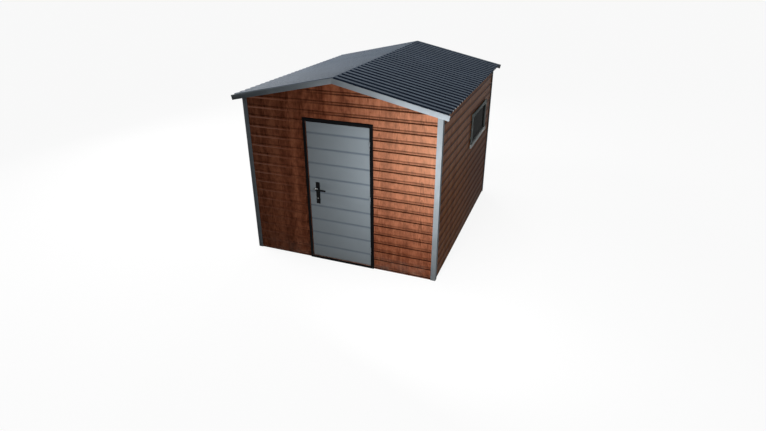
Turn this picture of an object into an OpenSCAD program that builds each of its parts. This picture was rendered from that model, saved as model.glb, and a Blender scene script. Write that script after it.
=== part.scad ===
// Gable roof garden shed: ribbed sheet cladding on a square tube frame, with
// one hinged door, one window and a trapezoidal sheet roof.
// The origin is on the ground at the middle of the footprint. The door faces -Y.

/* [Building] */
// Width across the faces of the corner trims
shed_w = 2500; // [2000:10:3200]
// Depth across the faces of the corner trims
shed_d = 3000; // [2600:10:4000]
// Height of the ridge above the ground, at the tops of the roof's ribs
ridge_h = 2385; // [2300:1:2700]
// Slope of the roof, in degrees
roof_pitch = 12.25; // [8:0.05:15]
// How far the barge trims run past the side walls
eave_overhang = 94; // [40:1:200]
// How far the roof runs past the gable walls
verge_overhang = 88; // [75:1:200]

/* [Wall sheets] */
// Thickness of a wall sheet
sheet_t = 3; // [1:0.5:6]
// Distance from rib to rib
rib_pitch = 120; // [80:1:200]
// Height of the first rib's lower edge above the ground
rib_first = 10; // [5:1:80]
// Run of a rib's lower flank
rib_lower = 20; // [6:1:30]
// Width of a rib's flat crest
rib_crest = 12; // [8:1:30]
// Run of a rib's upper flank
rib_upper = 14; // [6:1:30]
// Depth of a rib
rib_depth = 8; // [4:0.5:12]

/* [Roof sheets] */
// Thickness of a roof sheet
roof_t = 3; // [1:0.5:6]
// Distance from rib to rib
roof_rib_pitch = 112; // [90:1:200]
// Width of a rib's flat top
roof_rib_top = 50; // [20:1:60]
// Run of a rib's flank
roof_rib_flank = 12; // [4:1:14]
// Height of a rib
roof_rib_h = 18; // [10:1:30]
// How far the sheets stop short of the ends of the barge trims
eave_setback = 20; // [0:1:40]

/* [Trims] */
// Thickness of the folded trims
trim_t = 2; // [1:0.5:4]
// Width of a corner trim's leg on a gable wall
corner_leg_gable = 62; // [40:1:120]
// Width of a corner trim's leg on a side wall
corner_leg_side = 60; // [40:1:120]
// How far the top of a barge trim lies below the tops of the roof's ribs
barge_drop = 6.5; // [2:0.5:14]
// Height of a barge trim's face, square to the slope
barge_face_h = 60; // [45:1:120]
// Width of the fold that lies under the roof sheet
barge_lap = 18; // [10:1:36]

/* [Frame] */
// Side of the square tube that the frame is made from
tube = 40; // [30:1:60]

/* [Door] */
// Width across the door frame
door_frame_w = 889; // [800:1:1100]
// Height of the door frame above the ground
door_frame_h = 1880; // [1800:1:1950]
// Width of the door frame's bars
door_bar = 36; // [25:1:60]
// How far the door frame stands out from the corner trims' faces
door_frame_proud = 4; // [0:0.5:10]
// Gap all round the leaf, inside the door frame
leaf_gap = 8; // [6:0.5:14]
// Thickness of the leaf's lip
lip_t = 5; // [4.5:0.1:6]
// How far the lip laps over the edge of the doorway
lip_lap = 12; // [8:1:20]
// Gap between the body of the leaf and the edge of the doorway
leaf_clear = 12; // [8:1:20]
// Thickness of the body of the leaf, behind the lip
leaf_body_t = 38; // [25:1:50]
// Height of the lowest groove above the ground
groove_first = 202; // [150:1:260]
// Distance from groove to groove
groove_pitch = 188; // [120:1:250]
// Width of a groove at the face
groove_w = 18; // [8:1:30]
// Depth of a groove
groove_d = 3; // [1:0.5:4]

/* [Hinges] */
// Number of hinges
hinge_count = 3; // [2:1:4]
// Radius of a hinge barrel
hinge_r = 7; // [6:0.5:10]
// Radius of a hinge pin
hinge_pin_r = 4; // [3:0.5:5]
// Height of one half of a hinge
hinge_half_h = 50; // [35:1:70]
// Distance from the ends of the leaf to the middle of the end hinges
hinge_inset = 210; // [120:1:350]
// Radial clearance between a pin and its barrel
pin_clear = 0.08; // [0.02:0.01:0.1]
// Gap between the two halves of a hinge
hinge_gap = 0.4; // [0.2:0.1:0.8]

/* [Handle] */
// Distance from the leaf's free edge to the middle of the handle plates
handle_inset = 110; // [70:1:180]
// Height of the middle of the handle plates above the ground
plate_z = 942; // [850:1:1050]
// Width of a handle plate
plate_w = 40; // [32:1:60]
// Height of a handle plate
plate_h = 276; // [220:1:300]
// Thickness of a handle plate
plate_t = 8; // [4:0.5:12]
// Distance from the middle of a plate up to the lever's axis
lever_rise = 62; // [40:1:85]
// Distance from the middle of a plate down to the lock cylinder
lock_drop = 70; // [40:1:90]
// Radius of the lock cylinder
lock_r = 8.5; // [6:0.5:12]
// How far the lock cylinder stands out of the plates
lock_proud = 3; // [1:0.5:6]
// Radius of the lever's spindle
spindle_r = 9; // [7:0.5:12]
// Distance from a plate's face to the back of the lever's grip
grip_reach = 48; // [30:1:50]
// Length of a grip from the spindle's axis to its tip
grip_l = 135; // [100:1:160]
// Height of a grip's section
grip_w = 20; // [19:1:30]
// Depth of a grip's section
grip_t = 12; // [8:1:20]
// Clearance round the spindle and the lock cylinder
turn_clear = 0.3; // [0.2:0.1:0.6]

/* [Window] */
// Distance from the front of the shed to the window's opening
window_from_front = 1630; // [1200:1:1800]
// Width of the window's opening
window_w = 870; // [500:1:900]
// Height of the window's opening
window_h = 370; // [250:1:400]
// Height of the window's opening above the ground
window_z = 1255; // [1000:1:1300]
// Width of the casing strips round the opening
casing_w = 50; // [45:1:80]
// How far the casing stands out from the corner trims' faces
casing_proud = 12; // [4:1:25]
// Joint between the casing strips, and round the window frame
casing_joint = 0.5; // [0.2:0.1:0.8]
// Width of the window frame's bars
sash_w = 16; // [10:1:40]
// Depth of the window frame's bars
sash_d = 34; // [20:1:38]
// Thickness of the glass
glass_t = 5; // [3:0.5:10]
// How far the glass lies behind the window frame's outer face
glass_recess = 4; // [1:0.5:12]
// Height of the sill under the casing
sill_h = 45; // [25:1:80]
// How far the sill stands out from the casing
sill_proud = 8; // [4:1:40]
// How far the sill runs past each end of the casing
sill_over = 20; // [0:1:60]
// Fall of the sill's top, from the casing to its outer edge
sill_fall = 4; // [1:1:12]

/* [Hidden] */
$fn = 32;

// Longer than anything in the shed, for cutting
reach = shed_w + shed_d + ridge_h;
// A little extra, so that cuts pass right through
eps = 1;

// Half sizes out to the corner trims, the flat of the sheets and the frame
half_w = shed_w / 2;
half_d = shed_d / 2;
rib_base = rib_lower + rib_crest + rib_upper;
wall_back = trim_t + rib_depth;
flat_w = half_w - wall_back;
flat_d = half_d - wall_back;
frame_w = flat_w - sheet_t;
frame_d = flat_d - sheet_t;

// The roof, measured square to the slope down from the tops of its ribs
roof_half = half_w + eave_overhang;
slope_l = roof_half / cos(roof_pitch);
sheet_under = roof_rib_h + roof_t;
rafter_under = sheet_under + tube;
verge_y = half_d + verge_overhang;

// The door, from its frame inwards
door_in_w = door_frame_w / 2 - door_bar;
door_in_top = door_frame_h - door_bar;
lip_w = door_in_w - leaf_gap;
lip_top = door_in_top - leaf_gap;
lip_bottom = door_bar + leaf_gap;
way_w = lip_w - lip_lap;
way_top = lip_top - lip_lap;
way_bottom = lip_bottom + lip_lap;
door_front = half_d + door_frame_proud;
leaf_front = half_d;
body_front = leaf_front - lip_t;
body_back = body_front - leaf_body_t;
pivot_x = door_in_w - leaf_gap / 2;
pivot_y = -door_front - hinge_r;

// The handle
handle_x = handle_inset - lip_w;
lever_z = plate_z + lever_rise;
lock_z = plate_z - lock_drop;
plate_front = leaf_front + plate_t;
plate_back = body_back - plate_t;

// The window
window_y0 = window_from_front - half_d;
window_y1 = window_y0 + window_w;
window_top = window_z + window_h;
window_face = half_w - trim_t;
casing_face = half_w + casing_proud;

// Height of a line square to the slope and this far below its top, at x
function slope_z(x, drop) = ridge_h - abs(x) * tan(roof_pitch) - drop / cos(roof_pitch);
// Outline of a ribbed wall sheet: its outer face up, its inner face down
function wall_ribs(h) = [
    for (k = [0 : floor((h - rib_first - rib_base) / rib_pitch)])
        for (p = [[0, 0], [rib_depth, rib_lower],
                  [rib_depth, rib_lower + rib_crest], [0, rib_base]])
            [p[0], rib_first + k * rib_pitch + p[1]]
];
function wall_face(h) = concat([[0, 0]], wall_ribs(h), [[0, h]]);
// A line of points taken backwards, moved sideways by dx and up by dy
function back_again(line, dx, dy) = [
    for (i = [len(line) - 1 : -1 : 0]) [line[i][0] + dx, line[i][1] + dy]
];

// Everything under a plane this far below the roof's top
module under_roof(drop) {
    rotate([90, 0, 0])
        linear_extrude(height = 2 * reach, center = true)
            polygon([
                [-roof_half, 0], [roof_half, 0],
                [roof_half, slope_z(roof_half, drop)],
                [0, slope_z(0, drop)],
                [-roof_half, slope_z(roof_half, drop)]
            ]);
}

// Children drawn with x down the right slope and z square to it
module on_slope() {
    translate([0, 0, ridge_h])
        rotate([0, roof_pitch, 0])
            children();
}

// Children on the right and their mirror image on the left
module both_sides() {
    children();
    mirror([1, 0, 0]) children();
}

// Children at the front and their mirror image at the rear
module both_ends() {
    children();
    mirror([0, 1, 0]) children();
}

module wall_sheet(length, h) {
    rotate([90, 0, 0])
        linear_extrude(height = length, center = true)
            polygon(concat(wall_face(h), back_again(wall_face(h), -sheet_t, 0)));
}

module gable_sheet() {
    intersection() {
        translate([0, -flat_d, 0])
            rotate([0, 0, -90])
                wall_sheet(2 * frame_w, slope_z(0, sheet_under));
        under_roof(sheet_under);
    }
}

// The front sheet with ribs outside the door frame and a flat edge behind it
module front_sheet() {
    difference() {
        gable_sheet();
        translate([-door_frame_w / 2, -reach, -eps])
            cube([door_frame_w, 2 * reach, door_frame_h + eps]);
    }
    difference() {
        translate([-door_frame_w / 2, -flat_d, 0])
            cube([door_frame_w, sheet_t, door_frame_h]);
        translate([-way_w, -reach, way_bottom])
            cube([2 * way_w, 2 * reach, way_top - way_bottom]);
    }
}

module front_wall_side() {
    color("sienna")
        intersection() {
            front_sheet();
            translate([way_w, -reach, -eps]) cube([reach, reach, reach]);
        }
}

module front_wall_right() front_wall_side();
module front_wall_left() mirror([1, 0, 0]) front_wall_side();

module front_wall_over_door() {
    color("sienna")
        intersection() {
            front_sheet();
            translate([-way_w, -reach, way_top]) cube([2 * way_w, reach, reach]);
        }
}

module front_wall_sill() {
    color("sienna")
        translate([-way_w, -flat_d, 0])
            cube([2 * way_w, sheet_t, way_bottom]);
}

module rear_wall() {
    color("sienna")
        rotate([0, 0, 180])
            gable_sheet();
}

module side_sheet() {
    translate([flat_w, 0, 0])
        wall_sheet(2 * frame_d, slope_z(window_face, sheet_under));
}

module left_wall() {
    color("sienna")
        mirror([1, 0, 0])
            side_sheet();
}

// The part of the right wall between two depths and two heights
module right_wall_part(y0, y1, z0, z1) {
    color("sienna")
        intersection() {
            side_sheet();
            translate([0, y0, z0]) cube([reach, y1 - y0, z1 - z0]);
        }
}

module right_wall_front() right_wall_part(-reach, window_y0, -eps, reach);
module right_wall_rear() right_wall_part(window_y1, reach, -eps, reach);
module right_wall_below_window() right_wall_part(window_y0, window_y1, -eps, window_z);
module right_wall_above_window() right_wall_part(window_y0, window_y1, window_top, reach);

module corner_trim() {
    color("slategray")
        intersection() {
            union() {
                translate([half_w - corner_leg_gable, -half_d, 0])
                    cube([corner_leg_gable, trim_t, ridge_h]);
                translate([half_w - trim_t, -half_d, 0])
                    cube([trim_t, corner_leg_side, ridge_h]);
            }
            under_roof(sheet_under);
        }
}

module corner_trim_front_right() corner_trim();
module corner_trim_front_left() mirror([1, 0, 0]) corner_trim();
module corner_trim_rear_right() mirror([0, 1, 0]) corner_trim();
module corner_trim_rear_left() rotate([0, 0, 180]) corner_trim();

// A barge trim: a face in front of the roof sheet and a fold under its edge
module barge_trim() {
    color("slategray")
        intersection() {
            on_slope()
                rotate([90, 0, 90])
                    linear_extrude(height = slope_l)
                        polygon([
                            [-verge_y, -barge_drop - barge_face_h], [-verge_y, -barge_drop],
                            [-verge_y + trim_t, -barge_drop], [-verge_y + trim_t, -sheet_under],
                            [-verge_y + barge_lap, -sheet_under],
                            [-verge_y + barge_lap, -sheet_under - trim_t],
                            [-verge_y + trim_t, -sheet_under - trim_t],
                            [-verge_y + trim_t, -barge_drop - barge_face_h]
                        ]);
            translate([0, -reach, 0]) cube([reach, reach, reach]);
        }
}

module barge_trim_front_right() barge_trim();
module barge_trim_front_left() mirror([1, 0, 0]) barge_trim();
module barge_trim_rear_right() mirror([0, 1, 0]) barge_trim();
module barge_trim_rear_left() rotate([0, 0, 180]) barge_trim();

roof_l = 2 * (verge_y - trim_t);
roof_rib_base = roof_rib_top + 2 * roof_rib_flank;
roof_ribs = floor((roof_l - roof_rib_base) / roof_rib_pitch) + 1;
roof_first = -((roof_ribs - 1) * roof_rib_pitch + roof_rib_base) / 2;
function roof_face() = concat(
    [[-roof_l / 2, 0]],
    [for (k = [0 : roof_ribs - 1])
        for (p = [[0, 0], [roof_rib_flank, roof_rib_h],
                  [roof_rib_base - roof_rib_flank, roof_rib_h], [roof_rib_base, 0]])
            [roof_first + k * roof_rib_pitch + p[0], p[1]]],
    [[roof_l / 2, 0]]
);

module roof_sheet_right() {
    color("darkslategray")
        intersection() {
            on_slope()
                translate([0, 0, -roof_rib_h])
                    rotate([90, 0, 90])
                        linear_extrude(height = slope_l - eave_setback)
                            polygon(concat(roof_face(), back_again(roof_face(), 0, -roof_t)));
            translate([0, -reach, 0]) cube([reach, 2 * reach, reach]);
        }
}

module roof_sheet_left() mirror([1, 0, 0]) roof_sheet_right();

// One upright of the door frame, from the frame's inner edge outwards
module door_frame_right() {
    color("black")
        translate([door_in_w, -door_front, 0])
            cube([door_bar, door_front - flat_d, door_frame_h]);
}

module door_frame_left() mirror([1, 0, 0]) door_frame_right();

module door_frame_rail(z) {
    color("black")
        translate([-door_in_w, -door_front, z])
            cube([2 * door_in_w, door_front - flat_d, door_bar]);
}

module door_frame_top() door_frame_rail(door_in_top);
module door_frame_bottom() door_frame_rail(0);

// A bore along Y through the leaf and its plates
module through_bore(r, z) {
    translate([handle_x, 0, z])
        rotate([90, 0, 0])
            cylinder(r = r + turn_clear, h = reach);
}

module handle_bores() {
    through_bore(spindle_r, lever_z);
    through_bore(lock_r, lock_z);
}

module door_leaf() {
    grooves = floor((lip_top - groove_first - groove_w) / groove_pitch);
    color("lightslategray")
        difference() {
            union() {
                translate([-lip_w, -leaf_front, lip_bottom])
                    cube([2 * lip_w, lip_t, lip_top - lip_bottom]);
                translate([-way_w + leaf_clear, -body_front, way_bottom + leaf_clear])
                    cube([
                        2 * (way_w - leaf_clear),
                        leaf_body_t,
                        way_top - way_bottom - 2 * leaf_clear
                    ]);
            }
            for (k = [0 : grooves])
                translate([0, -leaf_front, groove_first + k * groove_pitch])
                    rotate([90, 0, 90])
                        linear_extrude(height = 3 * lip_w, center = true)
                            polygon([
                                [-eps, -groove_w / 2], [0, -groove_w / 2],
                                [groove_d, -groove_w / 6], [groove_d, groove_w / 6],
                                [0, groove_w / 2], [-eps, groove_w / 2]
                            ]);
            handle_bores();
        }
}

module handle_plates() {
    color("black")
        difference() {
            for (y = [-plate_front, -body_back])
                translate([handle_x - plate_w / 2, y, plate_z - plate_h / 2])
                    cube([plate_w, plate_t, plate_h]);
            handle_bores();
        }
}

module lock_cylinder() {
    color("silver")
        translate([handle_x, -plate_back + lock_proud, lock_z])
            rotate([90, 0, 0])
                cylinder(r = lock_r, h = plate_front - plate_back + 2 * lock_proud);
}

module lever_spindle() {
    color("silver")
        translate([handle_x, -plate_back + grip_reach, lever_z])
            rotate([90, 0, 0])
                cylinder(r = spindle_r, h = plate_front - plate_back + 2 * grip_reach);
}

// A grip with round ends, level, pointing towards the hinges
module grip(y) {
    translate([handle_x, y + grip_t, lever_z])
        rotate([90, 0, 0]) {
            cylinder(d = grip_w, h = grip_t);
            translate([grip_l - grip_w / 2, 0, 0]) cylinder(d = grip_w, h = grip_t);
            translate([0, -grip_w / 2, 0]) cube([grip_l - grip_w / 2, grip_w, grip_t]);
        }
}

module lever_grips() {
    color("black") {
        grip(-plate_front - grip_reach - grip_t);
        grip(-plate_back + grip_reach);
    }
}

// Heights of the hinges' middles
hinge_low = lip_bottom + hinge_inset;
hinge_step = (lip_top - lip_bottom - 2 * hinge_inset) / (hinge_count - 1);

module at_hinges() {
    for (k = [0 : hinge_count - 1])
        translate([pivot_x, pivot_y, hinge_low + k * hinge_step])
            children();
}

// The lower half stands on the door frame and carries the pin
module hinge_frame_halves() {
    color("black")
        at_hinges() {
            translate([0, 0, -hinge_half_h]) {
                cylinder(r = hinge_r, h = hinge_half_h);
                cube([2 * hinge_r, hinge_r, hinge_half_h]);
            }
            cylinder(r = hinge_pin_r, h = 0.8 * hinge_half_h);
        }
}

// The upper half is fixed to the leaf's lip and turns on the pin
module hinge_leaf_halves() {
    color("black")
        at_hinges()
            translate([0, 0, hinge_gap])
                difference() {
                    union() {
                        cylinder(r = hinge_r, h = hinge_half_h);
                        translate([-2 * hinge_r, 0, 0])
                            cube([
                                2 * hinge_r - leaf_gap / 4,
                                -pivot_y - leaf_front,
                                hinge_half_h
                            ]);
                    }
                    translate([0, 0, -eps])
                        cylinder(r = hinge_pin_r + pin_clear, h = 0.8 * hinge_half_h + 2 * eps);
                }
}

// Three casing strips: a head between two upright ones that stand on the sill
module window_casing() {
    color("gray")
        translate([window_face, 0, 0]) {
            for (y = [window_y0 - casing_w, window_y1])
                translate([0, y, window_z])
                    cube([casing_face - window_face, casing_w, window_h + casing_w]);
            translate([0, window_y0 + casing_joint, window_top])
                cube([casing_face - window_face, window_w - 2 * casing_joint, casing_w]);
        }
}

module window_frame() {
    x0 = window_face - sash_d;
    color("dimgray") {
        for (y = [window_y0 + casing_joint, window_y1 - casing_joint - sash_w])
            translate([x0, y, window_z + casing_joint])
                cube([sash_d, sash_w, window_h - 2 * casing_joint]);
        for (z = [window_z + casing_joint, window_top - casing_joint - sash_w])
            translate([x0, window_y0 + sash_w + 2 * casing_joint, z])
                cube([sash_d, window_w - 2 * sash_w - 4 * casing_joint, sash_w]);
    }
}

module window_glass() {
    edge = sash_w + 2 * casing_joint;
    color("darkslategray", 0.6)
        translate([window_face - glass_recess - glass_t, window_y0 + edge, window_z + edge])
            cube([glass_t, window_w - 2 * edge, window_h - 2 * edge]);
}

// A sill on the wall under the casing, its top sloping where it stands out
module window_sill() {
    seat = casing_face - window_face;
    color("silver")
        translate([window_face, window_y1 + casing_w + sill_over, window_z])
            rotate([90, 0, 0])
                linear_extrude(height = window_w + 2 * casing_w + 2 * sill_over)
                    polygon([
                        [0, 0], [seat, 0], [seat + sill_proud, -sill_fall],
                        [seat + sill_proud, -sill_h], [0, -sill_h]
                    ]);
}

module base_rails_end() {
    color("dimgray")
        both_ends()
            translate([-frame_w, -frame_d, 0])
                cube([2 * frame_w, tube, tube]);
}

module base_rails_side() {
    color("dimgray")
        both_sides()
            translate([frame_w - tube, -frame_d + tube, 0])
                cube([tube, 2 * (frame_d - tube), tube]);
}

// A post in a gable wall at x, up to the rafter
module gable_post(x) {
    intersection() {
        translate([x, -frame_d, tube]) cube([tube, tube, ridge_h]);
        under_roof(rafter_under);
    }
}

module corner_posts() {
    color("dimgray")
        both_ends()
            both_sides()
                gable_post(frame_w - tube);
}

module door_posts() {
    color("saddlebrown")
        both_sides()
            gable_post(way_w);
}

module door_header() {
    color("saddlebrown")
        translate([-way_w, -frame_d, way_top])
            cube([2 * way_w, tube, tube]);
}

eave_rail_top = slope_z(frame_w, sheet_under);

module side_stud(y) {
    translate([frame_w - tube, y, tube])
        cube([tube, tube, eave_rail_top - 2 * tube]);
}

// Studs either side of the window, across from it, and in the rear wall
module wall_studs() {
    color("dimgray") {
        both_sides() {
            side_stud(window_y0 - tube);
            side_stud(window_y1);
        }
        mirror([0, 1, 0])
            both_sides()
                gable_post(way_w);
    }
}

module window_rails() {
    color("dimgray")
        for (z = [window_z - tube, window_top])
            translate([frame_w - tube, window_y0, z])
                cube([tube, window_w, tube]);
}

module eave_rails() {
    color("dimgray")
        both_sides()
            translate([frame_w - tube, -frame_d + tube, eave_rail_top - tube])
                cube([tube, 2 * (frame_d - tube), tube]);
}

// Rafters in the gable walls, from the ridge purlin to the corner posts
module gable_rafters() {
    color("dimgray")
        both_ends()
            both_sides()
                intersection() {
                    difference() {
                        under_roof(sheet_under);
                        under_roof(rafter_under);
                    }
                    translate([tube / 2, -frame_d, 0])
                        cube([frame_w - tube / 2, tube, ridge_h]);
                }
}

// The ridge purlin, and one purlin half way down each slope
module roof_purlins() {
    color("dimgray") {
        translate([-tube / 2, -frame_d, slope_z(tube / 2, sheet_under) - tube])
            cube([tube, 2 * frame_d, tube]);
        both_sides()
            on_slope()
                translate([(slope_l - tube) / 2, -frame_d + tube, -rafter_under])
                    cube([tube, 2 * (frame_d - tube), tube]);
    }
}

front_wall_left();
front_wall_right();
front_wall_over_door();
front_wall_sill();
rear_wall();
left_wall();
right_wall_front();
right_wall_rear();
right_wall_below_window();
right_wall_above_window();
corner_trim_front_left();
corner_trim_front_right();
corner_trim_rear_left();
corner_trim_rear_right();
barge_trim_front_left();
barge_trim_front_right();
barge_trim_rear_left();
barge_trim_rear_right();
roof_sheet_left();
roof_sheet_right();
door_frame_left();
door_frame_right();
door_frame_top();
door_frame_bottom();
door_leaf();
handle_plates();
lock_cylinder();
hinge_leaf_halves();
hinge_frame_halves();
lever_spindle();
lever_grips();
window_casing();
window_frame();
window_glass();
window_sill();
base_rails_side();
base_rails_end();
corner_posts();
wall_studs();
door_posts();
door_header();
window_rails();
eave_rails();
gable_rafters();
roof_purlins();
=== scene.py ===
"""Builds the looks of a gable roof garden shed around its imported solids."""

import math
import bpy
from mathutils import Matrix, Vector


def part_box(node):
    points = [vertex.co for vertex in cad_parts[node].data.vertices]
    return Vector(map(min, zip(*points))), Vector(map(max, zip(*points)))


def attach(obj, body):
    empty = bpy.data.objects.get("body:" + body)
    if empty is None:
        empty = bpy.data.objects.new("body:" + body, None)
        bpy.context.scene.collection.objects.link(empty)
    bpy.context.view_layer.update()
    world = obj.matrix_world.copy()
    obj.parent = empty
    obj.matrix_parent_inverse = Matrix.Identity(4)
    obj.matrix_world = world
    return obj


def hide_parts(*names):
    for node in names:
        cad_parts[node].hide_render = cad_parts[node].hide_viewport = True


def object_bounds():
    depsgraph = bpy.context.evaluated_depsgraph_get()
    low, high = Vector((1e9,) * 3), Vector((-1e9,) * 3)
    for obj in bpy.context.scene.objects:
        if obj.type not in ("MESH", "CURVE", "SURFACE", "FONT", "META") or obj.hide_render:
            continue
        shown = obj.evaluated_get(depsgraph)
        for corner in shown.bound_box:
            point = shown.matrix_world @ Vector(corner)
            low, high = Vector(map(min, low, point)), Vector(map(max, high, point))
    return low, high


bl_info = {
    "name": "Gable roof garden shed",
    "version": (1, 0, 0),
    "blender": (4, 5, 0),
    "location": "View3D > Sidebar > Shed",
    "description": "Finishes, fixings and fittings of a ribbed sheet garden shed",
    "category": "Object",
}

import bmesh
import bpy
from bpy.props import FloatProperty, FloatVectorProperty, IntProperty, PointerProperty
from mathutils import Vector

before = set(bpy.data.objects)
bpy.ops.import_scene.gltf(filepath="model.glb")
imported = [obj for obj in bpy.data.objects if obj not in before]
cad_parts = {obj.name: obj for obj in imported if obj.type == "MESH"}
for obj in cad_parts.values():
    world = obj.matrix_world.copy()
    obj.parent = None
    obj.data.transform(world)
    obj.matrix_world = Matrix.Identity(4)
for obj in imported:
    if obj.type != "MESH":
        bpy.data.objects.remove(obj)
cad_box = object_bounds()

GABLES = ("front_wall_left", "front_wall_right", "front_wall_over_door", "rear_wall")
SIDES = (
    "left_wall",
    "right_wall_front",
    "right_wall_rear",
    "right_wall_below_window",
    "right_wall_above_window",
)
CORNERS = tuple(f"corner_trim_{e}_{s}" for e in ("front", "rear") for s in ("left", "right"))
BARGES = tuple(f"barge_trim_{e}_{s}" for e in ("front", "rear") for s in ("left", "right"))
ROOF = ("roof_sheet_left", "roof_sheet_right")
DOOR_FRAME = tuple(f"door_frame_{s}" for s in ("left", "right", "top", "bottom"))
TUBES = (
    "base_rails_side",
    "base_rails_end",
    "corner_posts",
    "wall_studs",
    "window_rails",
    "eave_rails",
    "gable_rafters",
    "roof_purlins",
)
LINING = ("door_posts", "door_header")

# Strength and depth of the coatings' fine relief
PEEL = 0.35
PEEL_DEPTH = 0.00006
GRAIN_DEPTH = 0.00007

# Outlines across the seals and rims: (inward, along the normal)
DOOR_SEAL = (
    (0.0, 0.0),
    (0.0, 0.0012),
    (0.0052, 0.0014),
    (0.0062, 0.0030),
    (0.0085, 0.0034),
    (0.0108, 0.0030),
    (0.0120, 0.0014),
    (0.0120, 0.0),
)
PANE_SEAL = ((0.0, 0.0), (0.0, 0.0026), (0.0020, 0.0030), (0.0050, 0.0018), (0.0065, 0.0004), (0.0065, 0.0))
PLATE_RIM = ((0.0, 0.0), (0.0, 0.0045), (0.0010, 0.0055), (0.0050, 0.0055), (0.0050, 0.0))

# Outlines of turned parts: (radius, along the axis)
PLATE_SCREW = (
    (0, -0.001),
    (0.0042, -0.001),
    (0.0042, 0.0002),
    (0.0034, 0.0012),
    (0.0012, 0.0016),
    (0.0012, 0.0008),
    (0, 0.0008),
)
LEVER_COLLAR = (
    (0.0096, -0.0005),
    (0.0145, -0.0005),
    (0.0145, 0.0022),
    (0.0128, 0.0042),
    (0.0096, 0.0042),
    (0.0096, -0.0005),
)


def length(name, text, default):
    return FloatProperty(name=name, description=text, default=default, unit="LENGTH", subtype="DISTANCE", precision=4)


def colour(name, text, default):
    return FloatVectorProperty(name=name, description=text, default=default, size=3, min=0, max=1, subtype="COLOR")


def point(name, text, default):
    return FloatVectorProperty(
        name=name, description=text, default=default, size=3, subtype="TRANSLATION", unit="LENGTH"
    )


def direction(name, text, default):
    return FloatVectorProperty(name=name, description=text, default=default, size=3, subtype="DIRECTION")


def amount(name, text, default):
    return FloatProperty(name=name, description=text, default=default, min=0)


class ShedSheets(bpy.types.PropertyGroup):
    """Sizes of the ribbed sheets, as they are pressed"""

    rib_first: length("First rib", "Height of the lowest rib's foot above the ground", 0.010)
    rib_pitch: length("Rib pitch", "Distance from wall rib to wall rib", 0.120)
    rib_lower: length("Lower flank", "Run of a wall rib's lower flank", 0.020)
    rib_crest: length("Crest", "Width of a wall rib's flat crest", 0.012)
    rib_upper: length("Upper flank", "Run of a wall rib's upper flank", 0.014)
    rib_depth: length("Rib depth", "How far a wall rib stands out", 0.008)
    sheet: length("Sheet", "Thickness of a wall sheet", 0.003)
    roof_pitch: FloatProperty(
        name="Roof slope", description="Slope of the roof", default=math.radians(12.25), subtype="ANGLE"
    )
    roof_rib_first: length("First roof rib", "Place of the frontmost roof rib's foot", -1.549)
    roof_rib_pitch: length("Roof rib pitch", "Distance from roof rib to roof rib", 0.112)
    roof_rib_foot: length("Roof rib foot", "Width of a roof rib at its foot", 0.074)
    roof_rib_flank: length("Roof rib flank", "Run of a roof rib's flank", 0.012)
    roof_rib_height: length("Roof rib height", "Height of a roof rib", 0.018)
    groove_first: length("First groove", "Height of the door's lowest groove", 0.202)
    groove_pitch: length("Groove pitch", "Distance from door groove to groove", 0.188)
    groove_width: length("Groove width", "Width of a door groove", 0.018)
    barge_middle: length("Barge rivet line", "Drop of the rivets in the barge trims' faces", 0.046)


class ShedFixings(bpy.types.PropertyGroup):
    """Sizes of the screws, rivets, welds and rounded edges"""

    screw_head: length("Screw head", "Width of a hexagon screw head", 0.008)
    screw_height: length("Head height", "Height of a screw head", 0.0042)
    washer: length("Washer", "Width of a sealing washer", 0.015)
    washer_height: length("Washer height", "Height of a sealing washer", 0.0016)
    rivet: length("Rivet", "Width of a rivet head", 0.0085)
    rivet_height: length("Rivet height", "Height of a rivet head", 0.0022)
    rivet_step: length("Rivet step", "Distance from rivet to rivet", 0.330)
    rivet_in: length("Rivet inset", "Distance of a corner trim's rivets from its bend", 0.045)
    bead: length("Weld bead", "Width of a weld ripple", 0.006)
    fold_edge: length("Bend rounding", "Rounding of the folded trims and the lock", 0.0008)
    bar_edge: length("Bar rounding", "Rounding of the door's and the window's bars", 0.0012)
    casing_edge: length("Casing rounding", "Rounding of the window casing", 0.0015)
    tube_edge: length("Tube rounding", "Rounding of the square tubes", 0.003)
    barrel_edge: length("Barrel rounding", "Rounding of the hinge barrels", 0.0009)
    grip_edge: length("Grip rounding", "Rounding of the lever grips", 0.0045)
    seed: IntProperty(name="Seed", description="Seed of the small turns and sizes of like parts", default=7)


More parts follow.
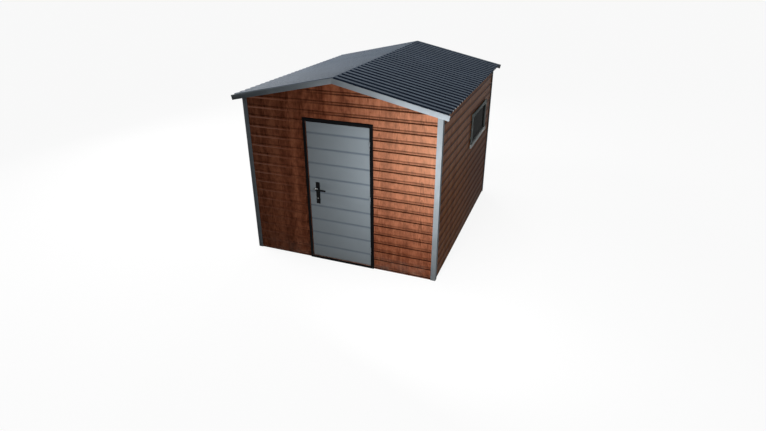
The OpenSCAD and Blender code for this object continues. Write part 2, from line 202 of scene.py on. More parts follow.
class ShedColours(bpy.types.PropertyGroup):
    """Colours of the coatings"""

    wood_dark: colour("Wood, dark", "Darkest grain of the wood print", (0.110, 0.028, 0.012))
    wood_mid: colour("Wood, middle", "Main colour of the wood print", (0.255, 0.078, 0.038))
    wood_light: colour("Wood, light", "Lightest grain of the wood print", (0.410, 0.140, 0.070))
    # Painted light: a paler, less red print round this place near the front right corner stands in for the pool of
    # light from the front lamp.
    wood_lamp_lit: colour("Wood, bleached", "Print where the sun has bleached it", (0.560, 0.340, 0.215))
    lamp_lit_place: point("Bleached place", "Middle of the print's bleached patch", (1.2, -1.5, 1.6))
    trims: colour("Trims", "Corner trims", (0.240, 0.268, 0.290))
    barges: colour("Barges", "Barge trims", (0.280, 0.312, 0.340))
    roofing: colour("Roofing", "Roof sheets", (0.130, 0.160, 0.200))
    door: colour("Door", "Door leaf", (0.188, 0.218, 0.240))
    black: colour("Black", "Door frame, hinges and handle", (0.0045, 0.0045, 0.0050))
    casing: colour("Casing", "Window casing", (0.170, 0.198, 0.194))
    # Painted light: this tint stands in for the light that falls on the wall with the window.
    window_wall_light_tint: FloatVectorProperty(
        name="Side tint",
        description="What the wood print's colours are multiplied by on the wall with the window",
        default=(1.0, 1.12, 0.72),
        size=3,
        min=0,
    )
    sill: colour("Sill", "Window sill", (0.800, 0.830, 0.820))
    sash: colour("Window frame", "Window frame bars", (0.050, 0.055, 0.055))
    glass: colour("Glass", "Tint of the pane", (0.040, 0.042, 0.040))
    primer: colour("Primer", "Square tubes of the frame", (0.130, 0.138, 0.140))
    back_coat: colour("Back coat", "Inner side of the sheets", (0.330, 0.340, 0.330))
    lining: colour("Lining", "Tubes round the doorway", (0.230, 0.080, 0.042))
    metal: colour("Metal", "Nickel parts of the lock and handle", (0.860, 0.860, 0.840))
    foam: colour("Rib fillers", "Profile fillers at the ends of ribs", (0.420, 0.440, 0.440))
    dust: colour("Dust", "Dust and splashes", (0.330, 0.300, 0.260))
    # Painted shade: the key slots' near-black stands in for the shade inside the keyway.
    keyway_shade: colour("Keyhole", "Dark inside of the lock", (0.004, 0.004, 0.004))


class ShedStage(bpy.types.PropertyGroup):
    """Camera, lamps and floor"""

    camera: point("Camera", "Place of the camera", (2.5635, -6.7730, 3.5238))
    aim: direction("Aim", "Direction of view", (-0.3183, 0.8407, -0.4380))
    lens: FloatProperty(
        name="Lens", description="Focal length in millimetres", default=24.553, subtype="DISTANCE_CAMERA"
    )
    key_place: point("Key lamp place", "Place of the soft lamp at the front", (1.157, -3.029, 1.545))
    key_aim: direction("Key lamp aim", "Direction of the soft lamp at the front", (0.338, 0.928, -0.151))
    key: amount("Key lamp", "Power of the soft lamp at the front", 51.0)
    overhead: amount("Overhead", "Strength of the soft light from above", 1.2)
    fill: amount("Fill lamps", "Power of the lamps behind and at the left", 110.0)
    right_fill: amount("Right fill", "Power of the lamp at the right", 13.0)
    roof_fill: amount("Roof fill", "Power of the lamp above the left eave", 190.0)
    sky: colour("Sky", "Light of the surroundings", (0.044, 0.049, 0.051))
    white: amount("White", "Brightness of the surroundings as seen", 0.955)
    floor: amount("Floor", "Brightness of the floor as a reflector", 0.06)
    floor_glow: amount("Floor as seen", "Even part of the floor's brightness as seen", 0.90)
    floor_shade: amount("Floor shade", "Part of the floor's brightness that takes shadows", 0.10)


# Nodes


def put(tree, kind, sockets=None, **settings):
    """One node, its settings, and its inputs set or linked."""
    node = tree.nodes.new(kind)
    for key, value in settings.items():
        setattr(node, key, value)
    for socket, value in (sockets or {}).items():
        target = node.inputs[socket]
        if isinstance(value, bpy.types.NodeSocket):
            tree.links.new(value, target)
        else:
            target.default_value = value
    return node


def calc(tree, operation, *values, clamp=False):
    return put(tree, "ShaderNodeMath", dict(enumerate(values)), operation=operation, use_clamp=clamp).outputs[0]


def remap(tree, value, low, high, to_low=0.0, to_high=1.0, kind="SMOOTHSTEP"):
    sockets = {0: value, 1: low, 2: high, 3: to_low, 4: to_high}
    return put(tree, "ShaderNodeMapRange", sockets, interpolation_type=kind).outputs[0]


def rgba(value):
    """A colour for a socket: three numbers get a fourth, and a linked colour stays."""
    return value if isinstance(value, bpy.types.NodeSocket) else (*value, 1.0)


def scaled(base, *factors):
    """A colour times one factor, or times three."""
    return tuple(min(1, v * f) for v, f in zip(base, factors if len(factors) == 3 else factors * 3))


def blend(tree, factor, a, b):
    """Colour a where the factor is 0, colour b where it is 1."""
    return put(tree, "ShaderNodeMix", {0: factor, 6: rgba(a), 7: rgba(b)}, data_type="RGBA").outputs[2]


def mottled(tree, mask, base, low, high):
    """A colour that a mask of noise varies between two strengths."""
    return blend(tree, remap(tree, mask, 0.3, 0.7), scaled(base, low), scaled(base, high))


def noise(tree, vector, scale, detail=2.0, rough=0.5):
    sockets = {"Vector": vector, "Scale": scale, "Detail": detail, "Roughness": rough}
    return put(tree, "ShaderNodeTexNoise", sockets).outputs["Fac"]


def joined(tree, x, y, z):
    return put(tree, "ShaderNodeCombineXYZ", {0: x, 1: y, 2: z}).outputs[0]


def parts_of(tree, vector):
    return put(tree, "ShaderNodeSeparateXYZ", {0: vector}).outputs


def place_of(tree):
    return put(tree, "ShaderNodeTexCoord").outputs["Object"]


def new_group(name, inputs, outputs, kind="ShaderNodeTree"):
    """An empty node group with its sockets: (name, type, default)."""
    tree = bpy.data.node_groups.new(name, kind)
    for side, rows in (("INPUT", inputs), ("OUTPUT", outputs)):
        for label, socket_type, default in rows:
            socket = tree.interface.new_socket(label, in_out=side, socket_type=socket_type)
            if default is not None:
                socket.default_value = default
    return tree, tree.nodes.new("NodeGroupInput").outputs, tree.nodes.new("NodeGroupOutput").inputs


FLOAT, VECTOR, GEOMETRY = "NodeSocketFloat", "NodeSocketVector", "NodeSocketGeometry"
WHOLE, MATERIAL = "NodeSocketInt", "NodeSocketMaterial"
SIXTH_TURN = 1.0472


def make_wood_print():
    """Boards of upright grain with arched figures, knots and mottling, as a printed wood coating."""
    tree, given, out = new_group(
        "wood_print",
        [("Place", VECTOR, None), ("Seed", FLOAT, 0.0), ("Board Width", FLOAT, 0.17), ("Arch Rate", FLOAT, 4.2)],
        [("Tone", FLOAT, None), ("Pore", FLOAT, None)],
    )
    x, y, z = parts_of(tree, given["Place"])
    seed = given["Seed"]
    u = calc(tree, "ADD", x, y)
    wobble = noise(tree, joined(tree, calc(tree, "MULTIPLY", u, 2.5), seed, z), 1.6)
    u = calc(tree, "MULTIPLY_ADD", wobble, 0.030, u)

    def grain(across, along, shift, detail, rough=0.5):
        at = joined(
            tree,
            calc(tree, "MULTIPLY", u, across),
            calc(tree, "ADD", seed, shift),
            calc(tree, "MULTIPLY", z, along),
        )
        return noise(tree, at, 1.0, detail, rough)

    board = calc(tree, "DIVIDE", u, given["Board Width"])
    index = calc(tree, "FLOOR", board)
    lot = put(tree, "ShaderNodeTexWhiteNoise", {"Vector": joined(tree, index, seed, 0.0)}, noise_dimensions="2D")
    tint, height, centre = parts_of(tree, lot.outputs["Color"])
    within = calc(tree, "SUBTRACT", calc(tree, "FRACT", board), calc(tree, "MULTIPLY_ADD", centre, 0.3, 0.35))
    bend = calc(tree, "MULTIPLY", calc(tree, "MULTIPLY", within, within), calc(tree, "MULTIPLY_ADD", tint, 26.0, 14.0))
    rise = calc(tree, "MULTIPLY", calc(tree, "MULTIPLY_ADD", height, 9.0, z), given["Arch Rate"])
    sway = calc(tree, "MULTIPLY", grain(9.0, 2.6, 5.0, 2.0), 2.6)
    rings = calc(tree, "FRACT", calc(tree, "ADD", calc(tree, "ADD", rise, bend), sway))
    rings = calc(tree, "MULTIPLY", rings, remap(tree, rings, 1.0, 0.82))
    figured = remap(tree, grain(3.5, 1.1, 29.0, 1.0), 0.38, 0.62)
    strength = calc(tree, "MULTIPLY_ADD", figured, 0.50, 0.10)
    arches = calc(tree, "MULTIPLY", calc(tree, "SUBTRACT", rings, 0.42), strength)
    bands = remap(tree, grain(7.0, 0.22, 11.0, 3.0), 0.30, 0.70)
    streaks = remap(tree, grain(58.0, 1.1, 17.0, 3.0, 0.6), 0.28, 0.72)
    fibres = remap(tree, grain(240.0, 5.0, 23.0, 2.0), 0.30, 0.70)
    mottle = remap(tree, grain(19.0, 11.0, 37.0, 4.0, 0.62), 0.30, 0.70)
    tone = calc(tree, "MULTIPLY_ADD", bands, 0.44, -0.10)
    tone = calc(tree, "MULTIPLY_ADD", tint, 0.14, tone)
    tone = calc(tree, "SUBTRACT", tone, arches)
    tone = calc(tree, "MULTIPLY_ADD", streaks, 0.11, tone)
    tone = calc(tree, "MULTIPLY_ADD", mottle, 0.46, tone)
    tone = calc(tree, "MULTIPLY_ADD", fibres, 0.08, tone)
    cell = joined(tree, calc(tree, "MULTIPLY", u, 3.1), seed, calc(tree, "MULTIPLY", z, 1.7))
    knots = put(tree, "ShaderNodeTexVoronoi", {"Vector": cell, "Scale": 1.0, "Randomness": 1.0})
    chosen = calc(tree, "GREATER_THAN", parts_of(tree, knots.outputs["Color"])[0], 0.62)
    knot = calc(tree, "MULTIPLY", remap(tree, knots.outputs["Distance"], 0.13, 0.02), chosen)
    tree.links.new(calc(tree, "MULTIPLY_ADD", knot, -0.30, tone, clamp=True), out["Tone"])
    tree.links.new(calc(tree, "ADD", fibres, streaks), out["Pore"])


def make_folds():
    """Masks of a row of pressed ribs: both flanks, the crests and the pans between them."""
    sizes = ("Along", "First", "Pitch", "Lower", "Crest", "Upper")
    tree, given, out = new_group(
        "rib_folds",
        [(s, FLOAT, 0.1) for s in sizes],
        [("Lower Flank", FLOAT, None), ("Upper Flank", FLOAT, None), ("Crest", FLOAT, None), ("Pan", FLOAT, None)],
    )
    run = calc(tree, "SUBTRACT", given["Along"], given["First"])
    run = calc(tree, "WRAP", run, given["Pitch"], 0.0)
    crest = calc(tree, "ADD", given["Lower"], given["Crest"])
    foot = calc(tree, "ADD", crest, given["Upper"])
    lower = calc(tree, "LESS_THAN", run, given["Lower"])
    past_crest = calc(tree, "GREATER_THAN", run, crest)
    pan = calc(tree, "GREATER_THAN", run, foot)
    tree.links.new(lower, out["Lower Flank"])
    tree.links.new(calc(tree, "SUBTRACT", past_crest, pan), out["Upper Flank"])
    tree.links.new(calc(tree, "SUBTRACT", calc(tree, "SUBTRACT", 1.0, lower), past_crest), out["Crest"])
    tree.links.new(pan, out["Pan"])


def make_weather():
    """Dust near the ground, faint water streaks and small specks."""
    tree, given, out = new_group(
        "weather",
        [("Place", VECTOR, None), ("Splash Height", FLOAT, 0.35), ("Amount", FLOAT, 0.5)],
        [("Dust", FLOAT, None), ("Streak", FLOAT, None), ("Speck", FLOAT, None)],
    )
    x, y, z = parts_of(tree, given["Place"])
    cloud = remap(tree, noise(tree, given["Place"], 7.0, 5.0, 0.65), 0.35, 0.70)
    near = remap(tree, z, given["Splash Height"], 0.0)
    dust = calc(tree, "MULTIPLY", calc(tree, "MULTIPLY", near, cloud), given["Amount"])
    at = joined(tree, calc(tree, "MULTIPLY", calc(tree, "ADD", x, y), 34.0), 2.0, calc(tree, "MULTIPLY", z, 0.8))
    streak = remap(tree, noise(tree, at, 1.0, 3.0), 0.52, 0.80)
    speck = remap(tree, noise(tree, given["Place"], 150.0, 1.0), 0.70, 0.80)
    tree.links.new(dust, out["Dust"])
    tree.links.new(calc(tree, "MULTIPLY", streak, given["Amount"]), out["Streak"])
    tree.links.new(speck, out["Speck"])


def make_coat():
    """Uneven gloss and fine orange peel of a coating."""
    tree, given, out = new_group(
        "coat",
        [("Place", VECTOR, None), ("Peel", FLOAT, 420.0)],
        [("Mottle", FLOAT, None), ("Height", FLOAT, None)],
    )
    mottle = noise(tree, given["Place"], 3.1, 4.0, 0.6)
    peel = noise(tree, given["Place"], given["Peel"], 1.0)
    wave = noise(tree, given["Place"], 9.0, 1.0)
    tree.links.new(mottle, out["Mottle"])
    tree.links.new(calc(tree, "MULTIPLY_ADD", wave, 14.0, peel), out["Height"])


def make_inside():
    """1 on faces that look in towards the middle of the shed or down under the roof."""
    tree, given, out = new_group(
        "inner_side",
        [("Place", VECTOR, None), ("Roof", FLOAT, 0.0)],
        [("Inside", FLOAT, None)],
    )
    nx, ny, nz = parts_of(tree, put(tree, "ShaderNodeNewGeometry").outputs["True Normal"])
    x, y, _ = parts_of(tree, given["Place"])
    outward = calc(tree, "MULTIPLY_ADD", nx, x, calc(tree, "MULTIPLY", ny, y))
    inward = calc(tree, "LESS_THAN", outward, -0.3)
    under = calc(tree, "LESS_THAN", nz, -0.5)
    roofed = calc(tree, "MULTIPLY_ADD", calc(tree, "SUBTRACT", under, inward), given["Roof"], inward)
    tree.links.new(roofed, out["Inside"])


def use(tree, group, sockets):
    """The outputs of a shared node group that is given its inputs."""
    return put(tree, "ShaderNodeGroup", sockets, node_tree=bpy.data.node_groups[group]).outputs


def folds_of(tree, along, first, pitch, lower, crest, upper):
    """Masks of a row of ribs along a line, from the ribs' own sizes."""
    sizes = {"Along": along, "First": first, "Pitch": pitch, "Lower": lower, "Crest": crest, "Upper": upper}
    return use(tree, "rib_folds", sizes)


def surface(name, **sockets):
    """A material with a Principled shader and its plain values."""
    made = bpy.data.materials.new(name)
    made.use_nodes = True
    tree = made.node_tree
    shader = next(n for n in tree.nodes if n.type == "BSDF_PRINCIPLED")
    for socket, value in sockets.items():
        shader.inputs[socket.replace("_", " ")].default_value = value
    return made, tree, shader


def bump(tree, shader, height, strength, distance):
    node = put(tree, "ShaderNodeBump", {"Height": height, "Strength": strength, "Distance": distance})
    tree.links.new(node.outputs[0], shader.inputs["Normal"])


def groove_mask(tree, place):
    """1 in the pressed grooves of the door leaf, fading out at their shoulders: where the door's painted shade goes.
    """
    s = bpy.context.scene.shed_sheets
    run = calc(tree, "SUBTRACT", parts_of(tree, place)[2], s.groove_first - s.groove_pitch / 2)
    run = calc(tree, "WRAP", run, s.groove_pitch, 0.0)
    off = calc(tree, "ABSOLUTE", calc(tree, "SUBTRACT", run, s.groove_pitch / 2))
    return remap(tree, off, s.groove_width * 1.15, s.groove_width * 0.15)


def painted(name, base, rough=0.45, gloss=0.25, dust=0.5, mottle=0.10, splash=0.30, grooves=False):
    """A coated sheet: uneven tone and gloss, orange peel, dust and streaks, and painted shade in the door's grooves if
    asked.
    """
    c = bpy.context.scene.shed_colours
    made, tree, shader = surface(name, Specular_IOR_Level=gloss)
    place = place_of(tree)
    coat = use(tree, "coat", {"Place": place})
    weather = use(tree, "weather", {"Place": place, "Splash Height": splash, "Amount": dust})
    tone = mottled(tree, coat["Mottle"], base, 1 - mottle, 1 + mottle)
    tone = blend(tree, calc(tree, "MULTIPLY", weather["Streak"], 0.16), tone, c.dust)
    tone = blend(tree, calc(tree, "MULTIPLY", weather["Dust"], 0.55), tone, c.dust)
    # Painted shade: the door's pressed grooves are darkened.
    if grooves:
        tone = blend(tree, groove_mask(tree, place), tone, scaled(base, 0.50, 0.55, 0.62))
    tree.links.new(tone, shader.inputs["Base Color"])
    uneven = calc(tree, "MULTIPLY_ADD", coat["Mottle"], 0.12, rough - 0.06)
    uneven = calc(tree, "MULTIPLY_ADD", weather["Dust"], 0.25, uneven)
    tree.links.new(calc(tree, "MULTIPLY_ADD", weather["Speck"], 0.1, uneven), shader.inputs["Roughness"])
    bump(tree, shader, coat["Height"], PEEL, PEEL_DEPTH)
    return made


def wood_print(name, ribs="", gloss=0.02):
    """Wood-effect coating with a pale back coat, and painted light and shade: shade in the folds of the ribs,
    highlights on some lower flanks, a lamp-lit patch, and a tint and darkening on the side walls.
    """
    c = bpy.context.scene.shed_colours
    s = bpy.context.scene.shed_sheets
    made, tree, shader = surface(name, Specular_IOR_Level=gloss, Coat_Roughness=0.35)
    place = place_of(tree)
    wood = use(tree, "wood_print", {"Place": place, "Seed": 4.0})
    coat = use(tree, "coat", {"Place": place})
    weather = use(tree, "weather", {"Place": place, "Splash Height": 0.30, "Amount": 0.5})
    x, y, z = parts_of(tree, place)
    figure = wood["Tone"]
    dark, middle, light = c.wood_dark, c.wood_mid, c.wood_light
    if ribs == "side":
        figure = calc(tree, "MULTIPLY_ADD", figure, 0.60, 0.19)
        # Painted light: on the wall with the window the print's colours are tinted for the light that falls there.
        window_wall = calc(tree, "GREATER_THAN", x, 0.0)
        dark, middle, light = (blend(tree, window_wall, v, scaled(v, *c.window_wall_light_tint)) for v in (dark, middle, light))
    low = blend(tree, remap(tree, figure, 0.08, 0.50, kind="LINEAR"), dark, middle)
    tone = blend(tree, remap(tree, figure, 0.50, 0.92, kind="LINEAR"), low, light)
    if ribs:
        folds = folds_of(tree, z, s.rib_first, s.rib_pitch, s.rib_lower, s.rib_crest, s.rib_upper)
    # Painted shade in the folds of the ribs: full on the rear gable and the right of the front gable, fading to a
    # faint shade on the left of the front gable.
    if ribs == "gable":
        right = calc(tree, "MAXIMUM", remap(tree, x, -0.75, 0.25), calc(tree, "GREATER_THAN", y, 0.0))
        lower = calc(tree, "MULTIPLY", right, 0.92)
        upper = calc(tree, "MULTIPLY_ADD", right, 0.22, 0.34)
        crest = calc(tree, "MULTIPLY", right, 0.16)
        # Painted highlight: on the left of the front gable the lower flanks are lightened and given a coat, for the
        # light they catch.
        far = calc(tree, "MULTIPLY", remap(tree, x, -0.40, -1.05), remap(tree, z, 0.2, 1.8, 0.25, 1.0))
        far = calc(tree, "MULTIPLY", far, calc(tree, "LESS_THAN", y, 0.0))
        gleam = calc(tree, "MULTIPLY", folds["Lower Flank"], far)
        tone = blend(tree, calc(tree, "MULTIPLY", gleam, 0.75), tone, c.wood_light)
        sheen = calc(tree, "MULTIPLY", gleam, 0.42)
        # Painted light: the print turns paler round a place near the front right corner, for the pool of light from
        # the front lamp.
        away = put(tree, "ShaderNodeVectorMath", {0: place, 1: c.lamp_lit_place}, operation="DISTANCE").outputs["Value"]
        tone = blend(tree, remap(tree, away, 0.05, 1.4, 0.29, 0.0, kind="LINEAR"), tone, c.wood_lamp_lit)
    elif ribs == "side":
        # Painted shade in the folds of the side walls.
        lower, upper, crest = 1.0, 0.20, 0.90
        # Painted shade: the side walls turn darker towards the lower rear.
        rear_low_shade = calc(tree, "MULTIPLY", remap(tree, y, -0.7, 0.9), remap(tree, z, 1.9, 0.6, 0.05, 1.0))
        tone = blend(tree, rear_low_shade, tone, dark)
    if ribs:
        # The fold masks, weighted as above, darken the print: painted shade.
        shade = calc(tree, "MULTIPLY", folds["Upper Flank"], upper)
        shade = calc(tree, "MULTIPLY_ADD", folds["Crest"], crest, shade)
        shade = calc(tree, "MULTIPLY_ADD", folds["Lower Flank"], lower, shade)
        if ribs == "side":
            flat = calc(tree, "SUBTRACT", 1.0, shade)
            sheen = calc(tree, "MULTIPLY", remap(tree, z, 0.8, 1.7, 0.0, 0.11), flat)
        tree.links.new(sheen, shader.inputs["Coat Weight"])
        tone = blend(tree, shade, tone, scaled(c.wood_dark, 0.20))
    tone = blend(tree, calc(tree, "MULTIPLY", weather["Dust"], 0.35), tone, c.dust)
    inside = use(tree, "inner_side", {"Place": place})["Inside"]
    tone = blend(tree, inside, tone, mottled(tree, coat["Mottle"], c.back_coat, 0.9, 1.0))
    tree.links.new(tone, shader.inputs["Base Color"])
    tree.links.new(calc(tree, "MULTIPLY_ADD", wood["Pore"], 0.06, 0.50), shader.inputs["Roughness"])
    height = calc(tree, "MULTIPLY_ADD", wood["Pore"], 1.2, coat["Height"])
    bump(tree, shader, height, PEEL, GRAIN_DEPTH)
    return made


def roof_coat(name, flank_shade, varnish):
    """Graphite roof coating: mottled rib tops, painted shade in the grooves and on the flanks, dirt streaks in the
    pans, pale back coat.
    """
    c = bpy.context.scene.shed_colours
    s = bpy.context.scene.shed_sheets
    made, tree, shader = surface(name, Specular_IOR_Level=0.004, Coat_Roughness=0.30)
    place = place_of(tree)
    coat = use(tree, "coat", {"Place": place})
    weather = use(tree, "weather", {"Place": place, "Splash Height": 0.0, "Amount": 0.6})
    x, y, _ = parts_of(tree, place)
    flank = s.roof_rib_flank
    folds = folds_of(tree, y, s.roof_rib_first, s.roof_rib_pitch, flank, s.roof_rib_foot - 2 * flank, flank)
    # Painted shade: the pans and, by the given weight, the flanks of the ribs darken towards a dark grey.
    flanks = calc(tree, "ADD", folds["Lower Flank"], folds["Upper Flank"])
    groove_shade = calc(tree, "MULTIPLY_ADD", flanks, flank_shade, folds["Pan"])
    tops = mottled(tree, coat["Mottle"], c.roofing, 0.92, 1.08)
    tone = blend(tree, calc(tree, "MULTIPLY", groove_shade, 0.95), tops, scaled(c.roofing, 0.16, 0.19, 0.27))
    dirt = calc(tree, "MULTIPLY", calc(tree, "MULTIPLY", folds["Pan"], weather["Streak"]), 0.4)
    tone = blend(tree, dirt, tone, scaled(c.dust, 0.4))
    inside = use(tree, "inner_side", {"Place": place, "Roof": 1.0})["Inside"]
    tone = blend(tree, inside, tone, c.back_coat)
    tree.links.new(tone, shader.inputs["Base Color"])
    if varnish:
        eaves = remap(tree, calc(tree, "ABSOLUTE", x), 0.0, 1.3, 0.35, 1.0, kind="LINEAR")
        ends = remap(tree, y, -1.5, 0.5, varnish, varnish * 0.25, kind="LINEAR")
        tree.links.new(calc(tree, "MULTIPLY", eaves, ends), shader.inputs["Coat Weight"])
    rough = calc(tree, "MULTIPLY_ADD", coat["Mottle"], 0.14, 0.42)
    tree.links.new(calc(tree, "MULTIPLY_ADD", weather["Speck"], 0.12, rough), shader.inputs["Roughness"])
    bump(tree, shader, coat["Height"], PEEL, PEEL_DEPTH)
    return made


def bright_metal(name, base):
    """Nickel plate with a fine turned grain."""
    made, tree, shader = surface(name, Metallic=1.0)
    place = place_of(tree)
    x, y, z = parts_of(tree, place)
    turned = noise(tree, joined(tree, calc(tree, "MULTIPLY", y, 900.0), x, z), 3.0)
    tone = blend(tree, noise(tree, place, 60.0, 3.0), scaled(base, 0.85), base)
    tree.links.new(tone, shader.inputs["Base Color"])
    tree.links.new(calc(tree, "MULTIPLY_ADD", turned, 0.16, 0.14), shader.inputs["Roughness"])
    bump(tree, shader, turned, 0.2, 0.00004)
    return made


def moulded(name, base, rough=0.42, gloss=0.10):
    """Moulded plastic or rubber with a fine leathery surface."""
    made, tree, shader = surface(name, Specular_IOR_Level=gloss)
    place = place_of(tree)
    cloud = noise(tree, place, 14.0, 3.0)
    tree.links.new(mottled(tree, cloud, base, 0.85, 1.2), shader.inputs["Base Color"])
    tree.links.new(calc(tree, "MULTIPLY_ADD", cloud, 0.14, rough - 0.07), shader.inputs["Roughness"])
    bump(tree, shader, noise(tree, place, 900.0), 0.3, 0.00005)
    return made


def tinted_glass():
    """A dark tinted pane with faint dust."""
    c = bpy.context.scene.shed_colours
    made, tree, shader = surface(
        "tinted_pane", Transmission_Weight=0.30, IOR=1.015, Specular_IOR_Level=0.3, Metallic=0.0
    )
    place = place_of(tree)
    weather = use(tree, "weather", {"Place": place, "Splash Height": 2.4, "Amount": 0.5})
    tone = blend(tree, calc(tree, "MULTIPLY", weather["Dust"], 0.05), c.glass, c.dust)
    tree.links.new(tone, shader.inputs["Base Color"])
    smears = remap(tree, noise(tree, place, 5.0, 4.0), 0.3, 0.8, 0.08, 0.16)
    tree.links.new(smears, shader.inputs["Roughness"])
    bump(tree, shader, noise(tree, place, 2.5, 1.0), 0.15, 0.0006)
    return made


# Meshes


def solids(node):
    """Lowest and highest corner of each solid in a CAD node."""
    work = bmesh.new()
    work.from_mesh(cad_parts[node].data)
    bmesh.ops.remove_doubles(work, verts=work.verts, dist=1e-5)
    left, found = set(work.verts), []
    while left:
        seed = left.pop()
        queue, island = [seed], [seed]
        while queue:
            for edge in queue.pop().link_edges:
                for v in edge.verts:
                    if v in left:
                        left.discard(v)
                        queue.append(v)
                        island.append(v)
        rows = [[v.co[i] for v in island] for i in range(3)]
        found.append((Vector(map(min, rows)), Vector(map(max, rows))))
    work.free()
    return sorted(found, key=lambda box: tuple(round(v, 5) for v in (*box[0], *box[1])))


def finished(name, mesh, body, material=None, replaced=()):
    """Links a mesh as a piece on the body it rides on, and hides the CAD nodes it stands for."""
    piece = bpy.data.objects.new(name, mesh)
    bpy.context.scene.collection.objects.link(piece)
    if material is not None:
        mesh.materials.clear()
        mesh.materials.append(material)
    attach(piece, body)
    if replaced:
        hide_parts(*replaced)
    return piece


def mesh_of(name, work, smooth=35):
    """A mesh from a worked one, smooth but for the edges sharper than an angle in degrees."""
    mesh = bpy.data.meshes.new(name)
    work.to_mesh(mesh)
    work.free()
    mesh.shade_smooth()
    mesh.set_sharp_from_angle(angle=math.radians(smooth))
    return mesh


def softened(nodes, name, body, material, width, segments=2, angle=25.0):
    """A copy of CAD nodes with rounded edges, standing for them."""
    work = bmesh.new()
    for node in nodes:
        work.from_mesh(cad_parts[node].data)
    bmesh.ops.remove_doubles(work, verts=work.verts, dist=1e-5)
    bmesh.ops.dissolve_limit(work, angle_limit=math.radians(0.5), verts=work.verts, edges=work.edges)
    sharp = [e for e in work.edges if len(e.link_faces) == 2 and e.calc_face_angle(0) > math.radians(angle)]
    bmesh.ops.bevel(
        work,
        geom=sharp,
        offset=width,
        offset_type="OFFSET",
        segments=segments,
        profile=0.5,
        affect="EDGES",
        clamp_overlap=True,
    )
    bmesh.ops.triangulate(work, faces=[f for f in work.faces if len(f.verts) > 4])
    return finished(name, mesh_of(name, work, smooth=40), body, material, nodes)


def recoated(piece, material, chosen):
    """Gives a second material to the faces that a test of place and normal chooses."""
    piece.data.materials.append(material)
    for face in piece.data.polygons:
        if chosen(face.center, face.normal):
            face.material_index = 1


def box_mesh(work, low, high):
    """A plain box between two corners."""
    spans = tuple(zip(low, high))
    corners = [work.verts.new((x, y, z)) for x in spans[0] for y in spans[1] for z in spans[2]]
    for face in ((0, 1, 3, 2), (4, 6, 7, 5), (0, 4, 5, 1), (2, 3, 7, 6), (0, 2, 6, 4), (1, 5, 7, 3)):
        work.faces.new([corners[i] for i in face])


def ring(work, centre, u, v, normal, half_u, half_v, profile):
    """A mitred rectangular frame: profile points are (inward, along the normal)."""
    centre, u, v, normal = Vector(centre), Vector(u), Vector(v), Vector(normal)
    rows = [
        [work.verts.new(centre + u * su * (half_u - p) + v * sv * (half_v - p) + normal * q) for p, q in profile]
        for su, sv in ((-1, -1), (1, -1), (1, 1), (-1, 1))
    ]
    n = len(profile)
    faces = [
        work.faces.new([rows[i][j], rows[(i + 1) % 4][j], rows[(i + 1) % 4][(j + 1) % n], rows[i][(j + 1) % n]])
        for i in range(4)
        for j in range(n)
    ]
    bmesh.ops.recalc_face_normals(work, faces=faces)


def lathe(work, centre, axis, profile, count):
    """A turned part of so many sides: profile points are (radius, along the axis)."""
    axis = Vector(axis).normalized()
    side = axis.orthogonal().normalized()
    other = axis.cross(side)
    turns = [2 * math.pi * k / count for k in range(count)]
    rows = []
    for radius, along in profile:
        middle = Vector(centre) + axis * along
        if radius < 1e-6:
            rows.append([work.verts.new(middle)])
            continue
        around = [middle + side * radius * math.cos(t) + other * radius * math.sin(t) for t in turns]
        rows.append([work.verts.new(place) for place in around])
    faces = []
    for a, b in zip(rows, rows[1:]):
        for k in range(count):
            corners = [a[k % len(a)], a[(k + 1) % len(a)], b[(k + 1) % len(b)], b[k % len(b)]]
            faces.append(work.faces.new(list(dict.fromkeys(corners))))
    bmesh.ops.recalc_face_normals(work, faces=faces)


# Repeats


def set_coat(tree, mesh, given, out):
    """Ends a geometry tree with its material."""
    coat = put(tree, "GeometryNodeSetMaterial", {0: mesh, "Material": given["Material"]})
    tree.links.new(coat.outputs[0], out["Geometry"])


def spot_tree(name, sizes):
    """A geometry tree that puts a head on each point, turned to face outwards."""
    rows = [("Geometry", GEOMETRY, None)]
    rows += [(label, FLOAT, value) for label, value in sizes]
    rows += [("Seed", WHOLE, 7), ("Material", MATERIAL, None)]
    tree, given, out = new_group(name, rows, [("Geometry", GEOMETRY, None)], "GeometryNodeTree")
    facing = put(tree, "GeometryNodeInputNamedAttribute", {"Name": "facing"}, data_type="FLOAT_VECTOR")
    turn = put(tree, "FunctionNodeAlignRotationToVector", {"Vector": facing.outputs["Attribute"]}, axis="Z")
    spin = put(tree, "FunctionNodeRandomValue", {2: 0.0, 3: SIXTH_TURN, "Seed": given["Seed"]}, data_type="FLOAT")
    spun = put(tree, "ShaderNodeCombineXYZ", {2: spin.outputs[1]})
    local = put(tree, "FunctionNodeRotateRotation", {0: turn.outputs[0], 1: spun.outputs[0]}, rotation_space="LOCAL")
    spots = put(tree, "GeometryNodeInstanceOnPoints", {"Points": given["Geometry"], "Rotation": local.outputs[0]})
    real = put(tree, "GeometryNodeRealizeInstances", {0: spots.outputs[0]})
    set_coat(tree, real.outputs[0], given, out)
    return tree, given, spots


def raised(tree, mesh, height):
    """Moves a mesh up by a height."""
    lift = put(tree, "ShaderNodeCombineXYZ", {2: height})
    return put(tree, "GeometryNodeTransform", {"Geometry": mesh, "Translation": lift.outputs[0]}).outputs[0]


def half(tree, value):
    return calc(tree, "MULTIPLY", value, 0.5)


